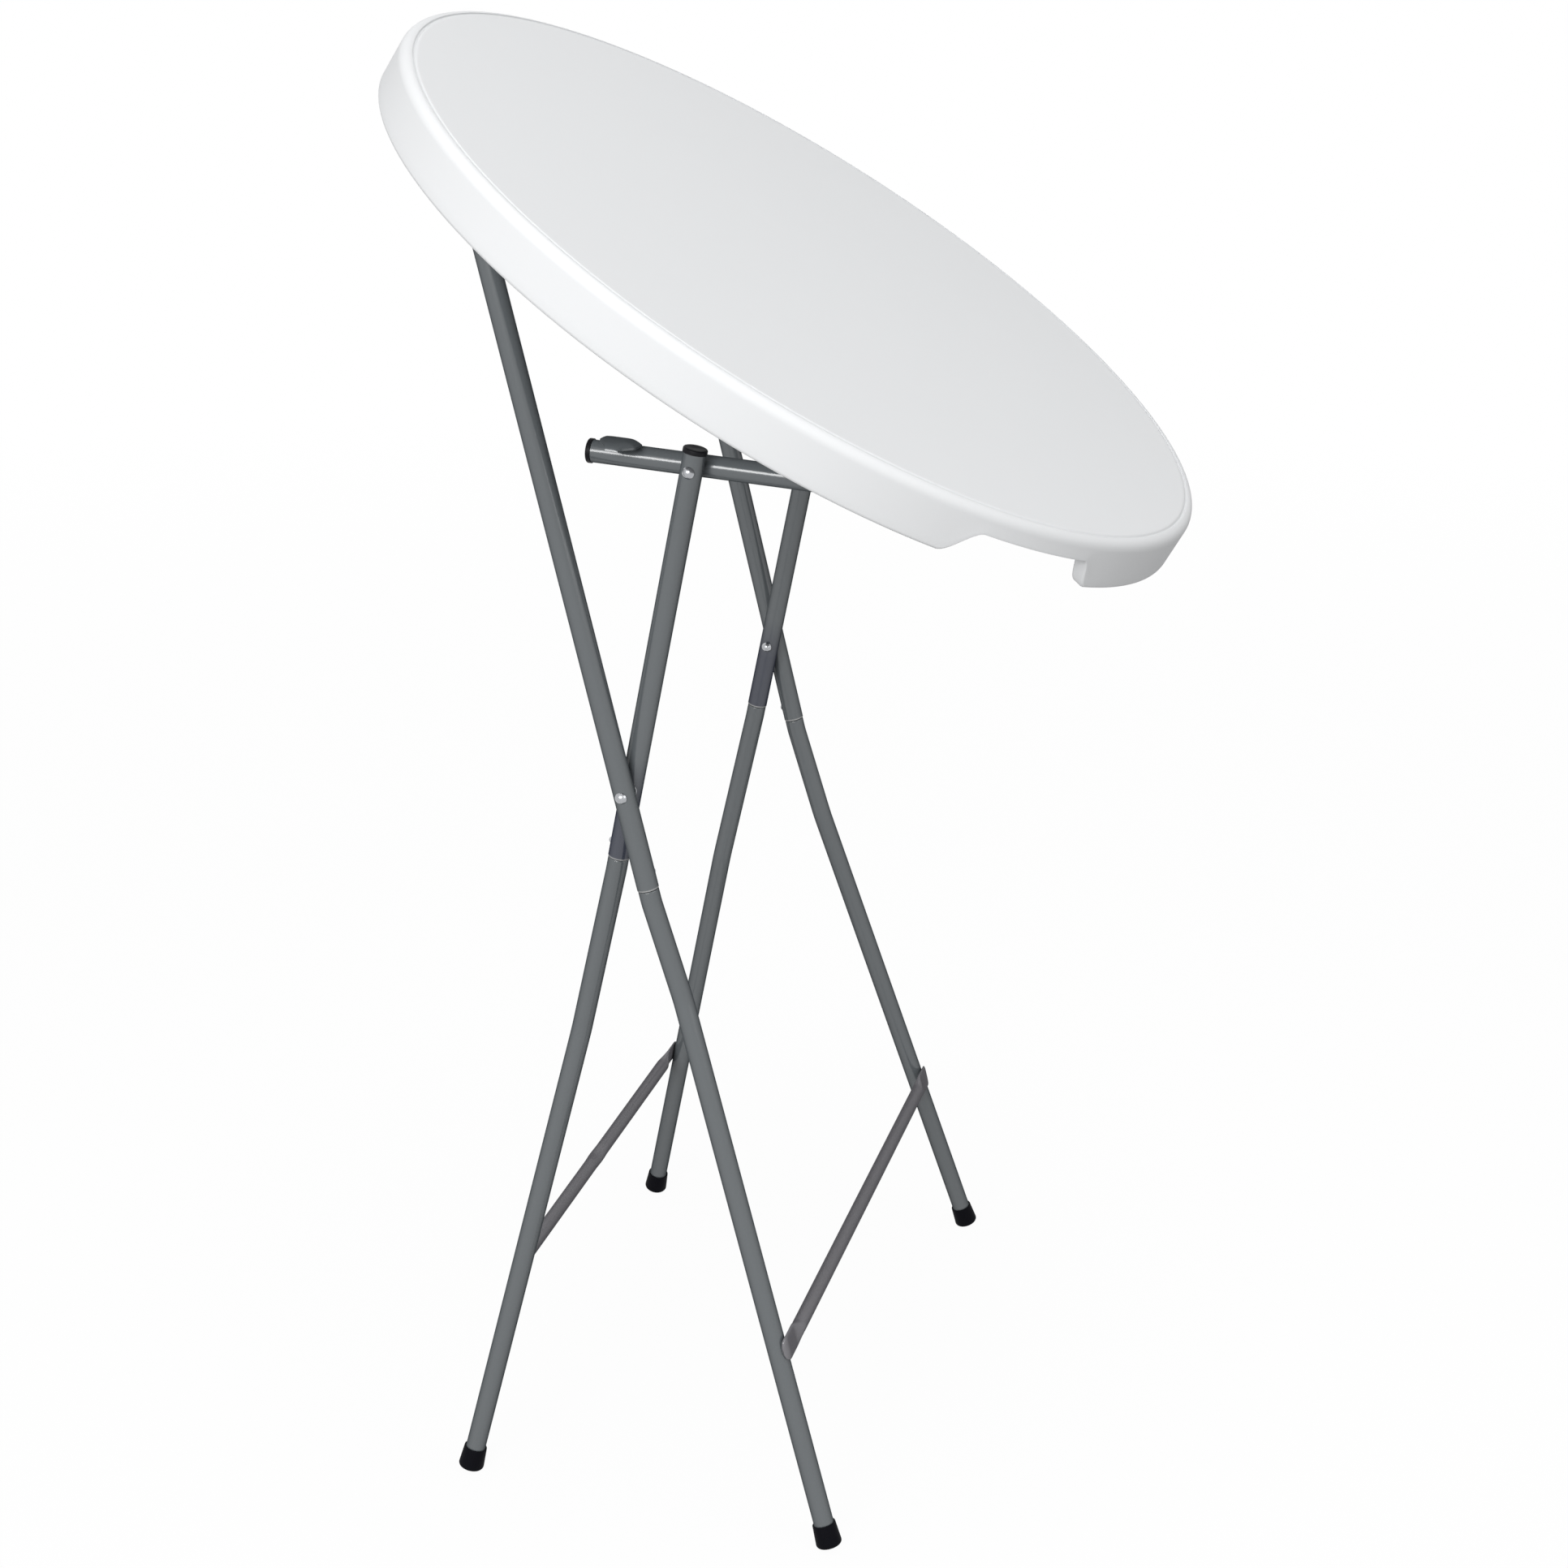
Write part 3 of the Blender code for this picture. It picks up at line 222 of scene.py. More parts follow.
# Painted highlight: a pale band for the glint on each sleeve mouth's edge
PAINTED_GLINT = (0.42, 0.42, 0.42)
FOOT_RUBBER = (0.005, 0.005, 0.007)
PLUG_PLASTIC = (0.008, 0.008, 0.010)
BRIGHT_ZINC = (0.44, 0.45, 0.47)
SPRING_STEEL = (0.45, 0.46, 0.48)

# Floor and light
AMBIENT = 0.36
FLOOR_HALF = 60.0
FLOOR_ROUGHNESS = 0.9
FLOOR_WHITE_SHARE = 0.96
FLOOR_FADE_START = 1.5
FLOOR_FADE_END = 4.5
FLOOR_SEEN = 0.92
FLOOR_BOUNCE = 0.36
LAMP_TARGET = (0.0, 0.0, 0.7)

ENDS = (("front", -1.0), ("back", 1.0))
SIDEWAYS = np.array([1.0, 0.0, 0.0])
UPWARD = np.array([0.0, 0.0, 1.0])

# Sockets of a Mix node for colours
MIX_SHARE, MIX_FIRST, MIX_SECOND = 0, 6, 7
MIX_RESULT = 2

# Height of a unit direction past which it counts as upright
NEARLY_UPRIGHT = 0.9


# Frames of the moving groups

def tilted(place, degrees):
    """A 4x4 frame at a place, turned about Y so that its Z leans towards +X by the angle."""
    angle = math.radians(degrees)
    cosine, sine = math.cos(angle), math.sin(angle)
    return np.array([[cosine, 0.0, sine, place[0]],
                     [0.0, 1.0, 0.0, place[1]],
                     [-sine, 0.0, cosine, place[2]],
                     [0.0, 0.0, 0.0, 1.0]])


OUTER = tilted(joint_place["scissor"], OUTER_LEAN)
INNER = tilted(joint_place["scissor"], INNER_LEAN)
TOP = tilted(joint_place["top_hinge"], TOP_TILT)
LINKS = tilted(joint_place["link_hinge"], LINK_TILT)


def along(origin, direction):
    """A 4x4 frame at the origin whose Z points along the direction."""
    axis_z = np.array(direction, float)
    axis_z /= np.linalg.norm(axis_z)
    helper = UPWARD if abs(axis_z[2]) < NEARLY_UPRIGHT else SIDEWAYS
    axis_x = np.cross(helper, axis_z)
    axis_x /= np.linalg.norm(axis_x)
    matrix = np.eye(4)
    matrix[:3, 0] = axis_x
    matrix[:3, 1] = np.cross(axis_z, axis_x)
    matrix[:3, 2] = axis_z
    matrix[:3, 3] = origin
    return matrix


def carried(points, matrix):
    """Points taken through a 4x4 frame: p -> R p + t."""
    return points @ matrix[:3, :3].T + matrix[:3, 3]


# Grids to meshes

def grid_faces(rows, columns, wrap_rows, wrap_columns):
    """Quads between neighbouring points of a grid, as index arrays."""
    row = np.arange(rows if wrap_rows else rows - 1)
    column = np.arange(columns if wrap_columns else columns - 1)
    row, column = np.meshgrid(row, column, indexing="ij")
    next_row, next_column = (row + 1) % rows, (column + 1) % columns
    quads = np.stack([row * columns + column, row * columns + next_column,
                      next_row * columns + next_column, next_row * columns + column], axis=-1)
    return quads.reshape(-1, 4)


def pole_faces(ring, pole, flip):
    """Triangles from a ring of points to one pole point."""
    following = np.roll(ring, -1)
    fan = np.stack([ring, following, np.full_like(ring, pole)], axis=-1)
    return fan[:, ::-1] if flip else fan


def smooth(share):
    """A smooth step from 0 to 1, held outside: 3 x^2 - 2 x^3."""
    share = np.clip(share, 0.0, 1.0)
    return share * share * (3 - 2 * share)


def capped_faces(rows, columns):
    """Faces of closed rings between two poles, the poles being the last two points."""
    count = rows * columns
    return [grid_faces(rows, columns, False, True)[:, ::-1],
            pole_faces(np.arange(columns), count, False),
            pole_faces(np.arange(count - columns, count), count + 1, True)]


def show(name, points, faces, finish, body, nodes, sharp, matrix, paint=None):
    """Puts the points and faces into a mesh and lets it stand for CAD nodes on a body.

    The points are carried by the body's frame. The paint holds a number at each point under
    each name that the finish reads."""
    mesh = bpy.data.meshes.new(name)
    mesh.from_pydata(carried(points, matrix).tolist(), [],
                     [face.tolist() for part in faces for face in part])
    mesh.validate()
    mesh.shade_smooth()
    mesh.set_sharp_from_angle(angle=math.radians(sharp))
    mesh.materials.append(finish)
    for title, values in (paint or {}).items():
        attribute = mesh.attributes.new(title, "FLOAT", "POINT")
        attribute.data.foreach_set("value", np.asarray(values, np.float32))
    piece = bpy.data.objects.new(name, mesh)
    bpy.context.scene.collection.objects.link(piece)
    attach(piece, body)
    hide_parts(*nodes)


def rounded(corners, radii, steps):
    """A path through the corners with an arc of radius R at each inner corner.

    Its points are c - m R cos a + t R sin a, where c is the arc's centre, m points from the
    corner to c, t is square to m, and a runs over the turn."""
    corners = [np.array(corner, float) for corner in corners]
    path = [corners[0][None]]
    for before, here, after, radius in zip(corners, corners[1:], corners[2:], radii):
        back = (before - here) / np.linalg.norm(before - here)
        ahead = (after - here) / np.linalg.norm(after - here)
        half_turn = (math.pi - math.acos(np.clip(back @ ahead, -1.0, 1.0))) / 2
        middle = (back + ahead) / np.linalg.norm(back + ahead)
        centre = here + middle * radius / math.cos(half_turn)
        tangent = (ahead - back) / np.linalg.norm(ahead - back)
        angle = np.linspace(-half_turn, half_turn, steps + 1)[:, None]
        path.append(centre - middle * radius * np.cos(angle) + tangent * radius * np.sin(angle))
    path.append(corners[-1][None])
    return np.concatenate(path)


def arc(centre, radius, start, end, steps):
    """Points of a flat arc between two angles in degrees: centre + radius (cos, sin)."""
    angle = np.radians(np.linspace(start, end, steps + 1))
    return np.stack([centre[0] + radius * np.cos(angle),
                     centre[1] + radius * np.sin(angle)], axis=1)


def tangents(path):
    """Unit directions along a path: the mean of the runs on both sides of each point."""
    runs = np.diff(path, axis=0)
    runs /= np.linalg.norm(runs, axis=1, keepdims=True)
    mean = np.concatenate([runs[:1], runs[:-1] + runs[1:], runs[-1:]])
    return mean / np.linalg.norm(mean, axis=1, keepdims=True)


def tube_points(path, radii, reference):
    """Circles carried along a path: p + r (u cos a + v sin a), with u and v square to the path."""
    ahead = tangents(path)
    side = np.cross(reference, ahead)
    side /= np.linalg.norm(side, axis=1, keepdims=True)
    other = np.cross(ahead, side)
    angle = np.linspace(0.0, 2 * math.pi, TUBE_SIDES, endpoint=False)[None, :, None]
    ring = side[:, None] * np.cos(angle) + other[:, None] * np.sin(angle)
    return path[:, None] + ring * np.asarray(radii)[:, None, None]


def walled_tube(path, radii, reference, bore=None):
    """A tube with a wall: its outer skin and its bore, joined at both ends."""
    outer = tube_points(path, radii, reference)
    inner = tube_points(path, np.asarray(radii) - TUBE_WALL if bore is None else bore, reference)
    loop = np.concatenate([outer, inner[::-1]])
    rows, columns = loop.shape[:2]
    return loop.reshape(-1, 3), [grid_faces(rows, columns, True, True)]


def upper_tube(path, sleeve_shade):
    """A full-width tube with the outer edge of its mouth eased, and what its finish reads.

    The first rings step in by the ease e: radius R - e at the mouth, R - e/4 at e/3 and R at
    e. The mouth's own ring is painted dark as the shade in the joint gap, the next two are
    painted bright as a glint on the mouth's edge, and a ring just past them ends the glint.
    The last argument gives a share of the sleeve's painted shade at each path point."""
    ahead = (path[1] - path[0]) / np.linalg.norm(path[1] - path[0])
    steps = np.array([0.0, MOUTH_EASE / 3, MOUTH_EASE, MOUTH_EASE + GLINT_FADE])
    path = np.concatenate([path[:1] + ahead * steps[:, None], path[1:]])
    radii = np.full(len(path), UPPER_RADIUS)
    radii[:2] -= [MOUTH_EASE, MOUTH_EASE / 4]
    bore = np.full(len(path), UPPER_RADIUS - TUBE_WALL)
    points, faces = walled_tube(path, radii, SIDEWAYS, bore)
    dark, glint = np.zeros((2, len(path)))
    # The mouth's own ring is painted dark as the shade in the joint gap
    dark[0] = 1.0
    # The next two rings are painted bright as a glint on the mouth's edge
    glint[1:3] = 1.0
    sleeve_shade = np.concatenate([sleeve_shade[[0, 0, 0]], sleeve_shade])
    return points, faces, {"seam_shade": both_skins(dark), "glint": both_skins(glint),
                           "sleeve": both_skins(sleeve_shade)}


def both_skins(values):
    """A value for each ring of a walled tube, at all points of its skin and its bore."""
    return np.repeat(np.concatenate([values, values[::-1]]), TUBE_SIDES)


def lathe(outline):
    """A turned solid: the outline's (r, z) at each angle a is (r cos a, r sin a, z).

    An outline that starts and ends on the axis is closed by its poles, any other by itself."""
    outline = np.asarray(outline, float)
    angle = np.linspace(0.0, 2 * math.pi, LATHE_SIDES, endpoint=False)
    is_ring = outline[0, 0] > ON_AXIS
    skin = outline if is_ring else outline[1:-1]
    points = np.stack([skin[:, :1] * np.cos(angle), skin[:, :1] * np.sin(angle),
                       np.repeat(skin[:, 1:], LATHE_SIDES, axis=1)], axis=-1).reshape(-1, 3)
    if is_ring:
        return points, [grid_faces(len(skin), LATHE_SIDES, True, True)[:, ::-1]]
    poles = [[0.0, 0.0, outline[0, 1]], [0.0, 0.0, outline[-1, 1]]]
    return np.concatenate([points, poles]), capped_faces(len(skin), LATHE_SIDES)


# Shader maths

class Wire:
    """A node's output that Python operators can add Math nodes to."""

    def __init__(self, nodes, socket):
        self.nodes = nodes
        self.socket = socket

    def maths(self, operation, other):
        """A Math node on this wire and a wire or number."""
        return self.nodes.add("Math", {"operation": operation}, {0: self, 1: other}, 0)

    def __add__(self, other):
        return self.maths("ADD", other)

    __radd__ = __add__

    def __mul__(self, other):
        return self.maths("MULTIPLY", other)

    __rmul__ = __mul__


class Nodes:
    """A node tree, with one method for every node that it gets."""

    def __init__(self, tree):
        self.tree = tree

    def join(self, value, socket):
        """Puts a wire, a colour or a number on a socket."""
        if isinstance(value, Wire):
            self.tree.links.new(value.socket, socket)
        elif socket.type == "RGBA":
            socket.default_value = (*value, 1.0)
        else:
            socket.default_value = value

    def add(self, kind, settings, sockets, output):
        """A node with its settings and sockets, given back as the wire of one output."""
        node = self.tree.nodes.new("ShaderNode" + kind)
        for name, value in settings.items():
            setattr(node, name, value)
        for name, value in sockets.items():
            self.join(value, node.inputs[name])
        return Wire(self, node.outputs[output])

    def seen_plainly(self):
        """1 for camera, mirror and glass rays and 0 for the rays that light the table."""
        camera, mirror, glass = (self.add("LightPath", {}, {}, "Is %s Ray" % kind)
                                 for kind in ("Camera", "Glossy", "Transmission"))
        return camera + mirror + glass


class Finish(Nodes):
    """A material under construction."""

    def __init__(self, name, colour, roughness, **settings):
        self.material = bpy.data.materials.new(name)
        self.material.use_nodes = True
        self.material.diffuse_color = (*colour, 1.0)
        super().__init__(self.material.node_tree)
        self.shader = self.tree.nodes["Principled BSDF"]
        self.set("Base Color", colour)
        self.set("Roughness", roughness)
        for socket, value in settings.items():
            self.set(socket.replace("_", " "), value)

    def set(self, socket, value):
        """A wire, colour or number on the surface shader's socket."""
        self.join(value, self.shader.inputs[socket])

    def place(self):
        """Object coordinates."""
        return self.add("TexCoord", {}, {}, "Object")

    def noise(self, lumps, detail):
        """Smooth noise with the given number of lumps to a metre."""
        return self.add("TexNoise", {}, {"Vector": self.place(), "Scale": lumps, "Detail": detail},
                        "Fac")

    def painted(self, name):
        """The number that a piece's points hold under a name, or 0."""
        return self.add("Attribute", {"attribute_name": name}, {}, "Fac")

    def blend(self, share, first, second):
        """The first colour where the share is 0 and the second where it is 1."""
        return self.add("Mix", {"data_type": "RGBA"},
                        {MIX_SHARE: share, MIX_FIRST: first, MIX_SECOND: second}, MIX_RESULT)

    def bump(self, height, depth):
        """Relief of the given depth in metres."""
        return self.add("Bump", {}, {"Height": height, "Distance": depth, "Strength": 1.0},
                        "Normal")

    def spread(self, wire, low, high, out_low, out_high):
        """A wire carried from one range to another, held at the ends."""
        return self.add("MapRange", {}, {"Value": wire, "From Min": low, "From Max": high,
                                         "To Min": out_low, "To Max": out_high}, "Result")


def moulded_white():
    """Satin white moulded plastic with a fine grain and faint waves."""
    finish = Finish("moulded_white", WHITE_PLASTIC, roughness=0.72, Specular_IOR_Level=0.16)
    grain = finish.noise(lumps=1400.0, detail=2.0)
    waves = finish.noise(lumps=14.0, detail=1.0)
    finish.set("Roughness", finish.spread(waves, low=0.3, high=0.7, out_low=0.68, out_high=0.76))
    finish.set("Normal", finish.bump(grain, depth=0.00003))
    return finish.material


def powder_grey():
    """Grey powder coat with a fine orange-peel skin, glossy where it is seen squarely.

    It is painted nearly black as shade in the seams of the leg joints and painted bright as a
    glint beside them, painted bluish dark as shade on the inner frame's sleeves and painted
    paler as light on the braces."""
    finish = Finish("powder_grey", GREY_COAT, roughness=0.42, Specular_IOR_Level=0.0,
                    Coat_Roughness=0.19, Coat_IOR=1.65)
    peel = finish.noise(lumps=900.0, detail=2.0)
    cloud = finish.noise(lumps=30.0, detail=2.0)
    facing = finish.add("LayerWeight", {}, {"Blend": 0.5}, "Facing")
    finish.set("Coat Weight",
               finish.spread(facing, low=0.20, high=0.62, out_low=0.95, out_high=0.0))
    finish.set("Roughness", finish.spread(cloud, low=0.3, high=0.7, out_low=0.38, out_high=0.50))
    finish.set("Normal", finish.bump(peel, depth=0.000010))
    # Painted shade on the inner frame's sleeves
    colour = finish.blend(finish.painted("sleeve"), GREY_COAT, SLEEVE_PAINTED_SHADE)
    # Painted light: the braces are painted paler than the same coat elsewhere
    colour = finish.blend(finish.painted("brace"), colour, BRACE_PAINTED_LIGHT)
    # Painted highlight: a glint beside the leg joints
    colour = finish.blend(finish.painted("glint"), colour, PAINTED_GLINT)
    # Painted shade in the gaps of the leg joints
    finish.set("Base Color", finish.blend(finish.painted("seam_shade"), colour, SEAM_PAINTED_SHADE))
    return finish.material


def plain(name, colour, roughness, lumps, depth, **settings):
    """A plain finish with a fine skin."""
    finish = Finish(name, colour, roughness, **settings)
    finish.set("Normal", finish.bump(finish.noise(lumps, detail=2.0), depth))
    return finish.material


WHITE = moulded_white()
GREY = powder_grey()
RUBBER = plain("black_rubber", FOOT_RUBBER, roughness=0.60, lumps=900.0, depth=0.00008,
               Specular_IOR_Level=0.04)
PLUG_BLACK = plain("black_plastic", PLUG_PLASTIC, roughness=0.45, lumps=700.0, depth=0.00004,
                   Specular_IOR_Level=0.15)
ZINC = plain("bright_zinc", BRIGHT_ZINC, roughness=0.26, lumps=500.0, depth=0.000004,
             Metallic=1.0)
SPRING = plain("spring_steel", SPRING_STEEL, roughness=0.28, lumps=500.0, depth=0.000004,
               Metallic=1.0)


# Round top

def notch_share(azimuth):
    """How far the rim is drawn up at an azimuth from the low end: 0 at full depth, 1 at the roof.

    With t the run along the rim from the notch's middle, the share is the product of a smooth
    step up at the steep wall and a half cosine down the long slope."""
    run = TOP_RADIUS * (np.abs(azimuth) - math.radians(NOTCH_AZIMUTH))
    wall = smooth((run - NOTCH_WALL_FOOT) / (NOTCH_WALL_TOP - NOTCH_WALL_FOOT))
    slope = np.clip((NOTCH_SLOPE_FOOT - run) / (NOTCH_SLOPE_FOOT - NOTCH_SLOPE_TOP), 0.0, 1.0)
    return wall * (0.5 - 0.5 * np.cos(math.pi * slope))


def section(radius, base, share, line):
    """Points of the top's half section as rows of radius, base height, share and line."""
    return np.stack(np.broadcast_arrays(radius, base, share, line), axis=-1)


def top_surface():
    """The top: a half section carried round the axis, whose rim is as deep as the azimuth says.

    Each point of the section has a radius, a base height, a share and a line. Its height is
    the base less the share of the rim's depth below the line."""
    groove = TOP_RADIUS - GROOVE_INSET
    side = TOP_RADIUS - RIM_FLARE
    foot = TOP_RADIUS - RIM_WIDTH
    wall = foot - RIM_DRAFT
    field = np.linspace(FIELD_START, groove - 2 * GROOVE_HALF, FIELD_RINGS)
    dip = np.linspace(-1.0, 1.0, GROOVE_RINGS)
    groove_height = -GROOVE_DEPTH * (0.5 + 0.5 * np.cos(math.pi * dip)) ** GROOVE_FULLNESS
    shoulder_x, shoulder_y = arc((side - SHOULDER, -SHOULDER), SHOULDER, 90.0, 0.0,
                                 SHOULDER_STEPS).T
    flank = np.linspace(0.0, 1.0, FLANK_STEPS)[1:-1]
    edge_x, edge_y = arc((0.0, 0.0), 1.0, 0.0, -90.0, EDGE_STEPS).T
    lip_x, lip_y = arc((0.0, 0.0), 1.0, -90.0, -180.0, EDGE_STEPS).T
    fillet_x, fillet_y = arc((wall - PANEL_FILLET, 0.0), PANEL_FILLET, 0.0, 90.0, EDGE_STEPS).T
    edge_share = 1.0 - RIM_EDGE / (RIM_DEPTH - SHOULDER)
    rise = RIM_DEPTH - PANEL_DEPTH
    lip_share = 1.0 - RIM_EDGE / rise
    fillet_share = PANEL_FILLET / rise
    panel = np.linspace(wall - PANEL_FILLET, FIELD_START, PANEL_RINGS)[1:]
    radius, base, share, line = np.concatenate([
        section(field, 0.0, 0.0, 0.0),
        section(groove + dip * GROOVE_HALF, groove_height, 0.0, 0.0),
        section(shoulder_x, shoulder_y, 0.0, 0.0),
        section(side + RIM_FLARE * flank, -SHOULDER, flank * edge_share, SHOULDER),
        section(TOP_RADIUS - RIM_EDGE + RIM_EDGE * edge_x, -SHOULDER,
                edge_share - (1 - edge_share) * edge_y, SHOULDER),
        section(foot + RIM_EDGE + RIM_EDGE * lip_x, -PANEL_DEPTH,
                lip_share - (1 - lip_share) * lip_y, PANEL_DEPTH),
        section(foot - RIM_DRAFT * flank, -PANEL_DEPTH,
                lip_share + (fillet_share - lip_share) * flank, PANEL_DEPTH),
        section(fillet_x, -PANEL_DEPTH, fillet_share * (1 - fillet_y / PANEL_FILLET),
                PANEL_DEPTH),
        section(panel, -PANEL_DEPTH, 0.0, PANEL_DEPTH)]).T
    coarse = np.radians(np.linspace(-180.0, 180.0, RIM_SIDES, endpoint=False))
    fine = np.radians(np.linspace(*NOTCH_SPAN, NOTCH_SIDES))
    azimuth = np.unique(np.round(np.concatenate([coarse, fine, -fine]), AZIMUTH_DECIMALS))
    depth = RIM_DEPTH - (RIM_DEPTH - NOTCH_ROOF) * notch_share(azimuth)
    height = base[:, None] - share[:, None] * (depth[None] - line[:, None])
    points = np.stack([radius[:, None] * np.cos(azimuth), radius[:, None] * np.sin(azimuth),
                       height], axis=-1)
    poles = [[0.0, 0.0, 0.0], [0.0, 0.0, -PANEL_DEPTH]]
    placed = np.concatenate([points.reshape(-1, 3), poles])
    return placed + np.array([HINGE_SPACING / 2, 0.0, HINGE_DEPTH]), capped_faces(*height.shape)


def show_top():
    """The top, with its faces pointing outwards."""
    points, faces = top_surface()
    show("round_top", points, faces, WHITE, "top", ["table_top"], TUBE_SHARP, TOP)


# Legs

def leg_line(leg, side):
    """The corners of a leg's centre line: sleeve mouth, kink, splay bend and foot, and its run."""
    kink, splay = math.radians(leg["kink"]), math.radians(leg["splay"])
    down = np.array([leg["lean"] * math.sin(kink), 0.0, -math.cos(kink)])
    mouth = np.array([0.0, side * leg["y"], -leg["joint"]])
    first = mouth - np.array([0.0, 0.0, KINK_LEAD])
    bend = first + down * (leg["bend"] - leg["joint"] - KINK_LEAD)
    run = down * math.cos(splay) + np.array([0.0, side * math.sin(splay), 0.0])
    run /= np.linalg.norm(run)
    return mouth, first, bend, bend + run * (leg["length"] - leg["bend"]), run


def show_outer_upper_leg(end, side):
    """An outer upper tube, turned inward at the top to the hinge tube."""
    mouth = leg_line(OUTER_LEG, side)[0]
    corner = np.array([0.0, mouth[1], PIVOT_TO_HINGE])
    inward = corner - np.array([0.0, side * (ELBOW_RADIUS + ELBOW_LEAD + SEAT_GAP / 2), 0.0])
    path = rounded([mouth, corner, inward], [ELBOW_RADIUS], ELBOW_STEPS)
    points, faces, paint = upper_tube(path, np.zeros(len(path)))
    name = "outer_upper_leg_" + end
    show(name + "_tube", points, faces, GREY, "outer_frame", [name], TUBE_SHARP,
         OUTER, paint)


def show_inner_upper_leg(end, side):
    """An inner upper tube, straight, with a plug in its top."""
    mouth = leg_line(INNER_LEG, side)[0]
    heights = np.array([mouth[2], *SLEEVE_SHADE_ENDS, PIVOT_TO_KNEE + KNEE_TO_TUBE_END])
    path = np.stack([np.zeros_like(heights), np.full_like(heights, mouth[1]), heights], axis=1)
    # The sleeve is fully painted with shade, which fades out above it
    points, faces, paint = upper_tube(path, np.array([1.0, 1.0, 0.0, 0.0]))
    name = "inner_upper_leg_" + end
    show(name + "_tube", points, faces, GREY, "inner_frame", [name], TUBE_SHARP,
         INNER, paint)
    show_plug("leg_plug_" + end, path[-1] + UPWARD * SEAT_GAP / 2, UPWARD, "inner_frame", INNER)


def show_plug(name, place, direction, body, matrix):
    """A plug: a low cap with a rounded edge, a slight dish and a stem in the tube."""
    stem = UPPER_RADIUS - TUBE_WALL - SEAT_GAP
    cap = UPPER_RADIUS + PLUG_OVERHANG
    edge = arc((cap - PLUG_EDGE, PLUG_CAP - PLUG_EDGE), PLUG_EDGE, 90.0, 0.0, EDGE_STEPS)
    low = PLUG_CAP - PLUG_DISH_DEPTH
    dish = np.array([[0.0, low], [PLUG_DISH_FLAT, low], [PLUG_DISH_RADIUS, PLUG_CAP]])
    outline = np.concatenate([dish, edge, [[cap, 0.0], [stem, 0.0], [stem, -PLUG_STEM],
                                           [0.0, -PLUG_STEM]]])
    points, faces = lathe(outline)
    show(name + "_cap", points, faces, PLUG_BLACK, body, [name],
         PRESSED_SHARP, matrix @ along(place, direction))


def show_lower_leg(group, leg, end, side, matrix):
    """A lower tube with its neck in the sleeve, and the rubber cup on its foot."""
    mouth, first, bend, foot, run = leg_line(leg, side)
    tube_end = foot - run * (FOOT_FLOOR + SEAT_GAP)
    below = rounded([mouth - [0.0, 0.0, 2.5 * MOUTH_EASE], first, bend, tube_end],
                    [KINK_RADIUS, SPLAY_RADIUS], KINK_STEPS)
    neck = [SLEEVE_LENGTH, NECK_LEAD, -SEAT_GAP, -SEAT_GAP - MOUTH_EASE / 2,
            -SEAT_GAP - MOUTH_EASE * 1.5]
    path = np.concatenate([mouth + np.outer(neck, UPWARD), below])
    radii = np.full(len(path), LOWER_RADIUS)
    radii[:4] = [NECK_RADIUS, NECK_RADIUS, LOWER_RADIUS - MOUTH_EASE * 1.5,
                 LOWER_RADIUS - MOUTH_EASE / 2]
    points, faces = walled_tube(path, radii, SIDEWAYS)
    # The neck and the mouth's rings are painted dark as the shade in the joint gap
    dark = np.zeros(len(path))
    dark[:3] = 1.0
    name = group + "_lower_leg_" + end
    show(name + "_tube", points, faces, GREY, group + "_frame", [name],
         TUBE_SHARP, matrix, {"seam_shade": both_skins(dark)})
    radius = LOWER_RADIUS + SEAT_GAP + FOOT_WALL
    bore = LOWER_RADIUS + SEAT_GAP / 3
    half_lip = (FOOT_LIP + SEAT_GAP * 2 / 3) / 2
    lip = arc((bore + half_lip, FOOT_HEIGHT - half_lip), half_lip, 180.0, 0.0, FOOT_LIP_STEPS)
    tread = arc((radius - FOOT_EDGE, FOOT_EDGE), FOOT_EDGE, 0.0, -90.0, FOOT_EDGE_STEPS)
    outline = np.concatenate([[[0.0, FOOT_FLOOR], [bore, FOOT_FLOOR]], lip, tread, [[0.0, 0.0]]])
    points, faces = lathe(outline)
    name = group + "_foot_" + end
    show(name + "_cup", points, faces, RUBBER, group + "_frame", [name],
         PRESSED_SHARP, matrix @ along(foot, -run))


# Braces

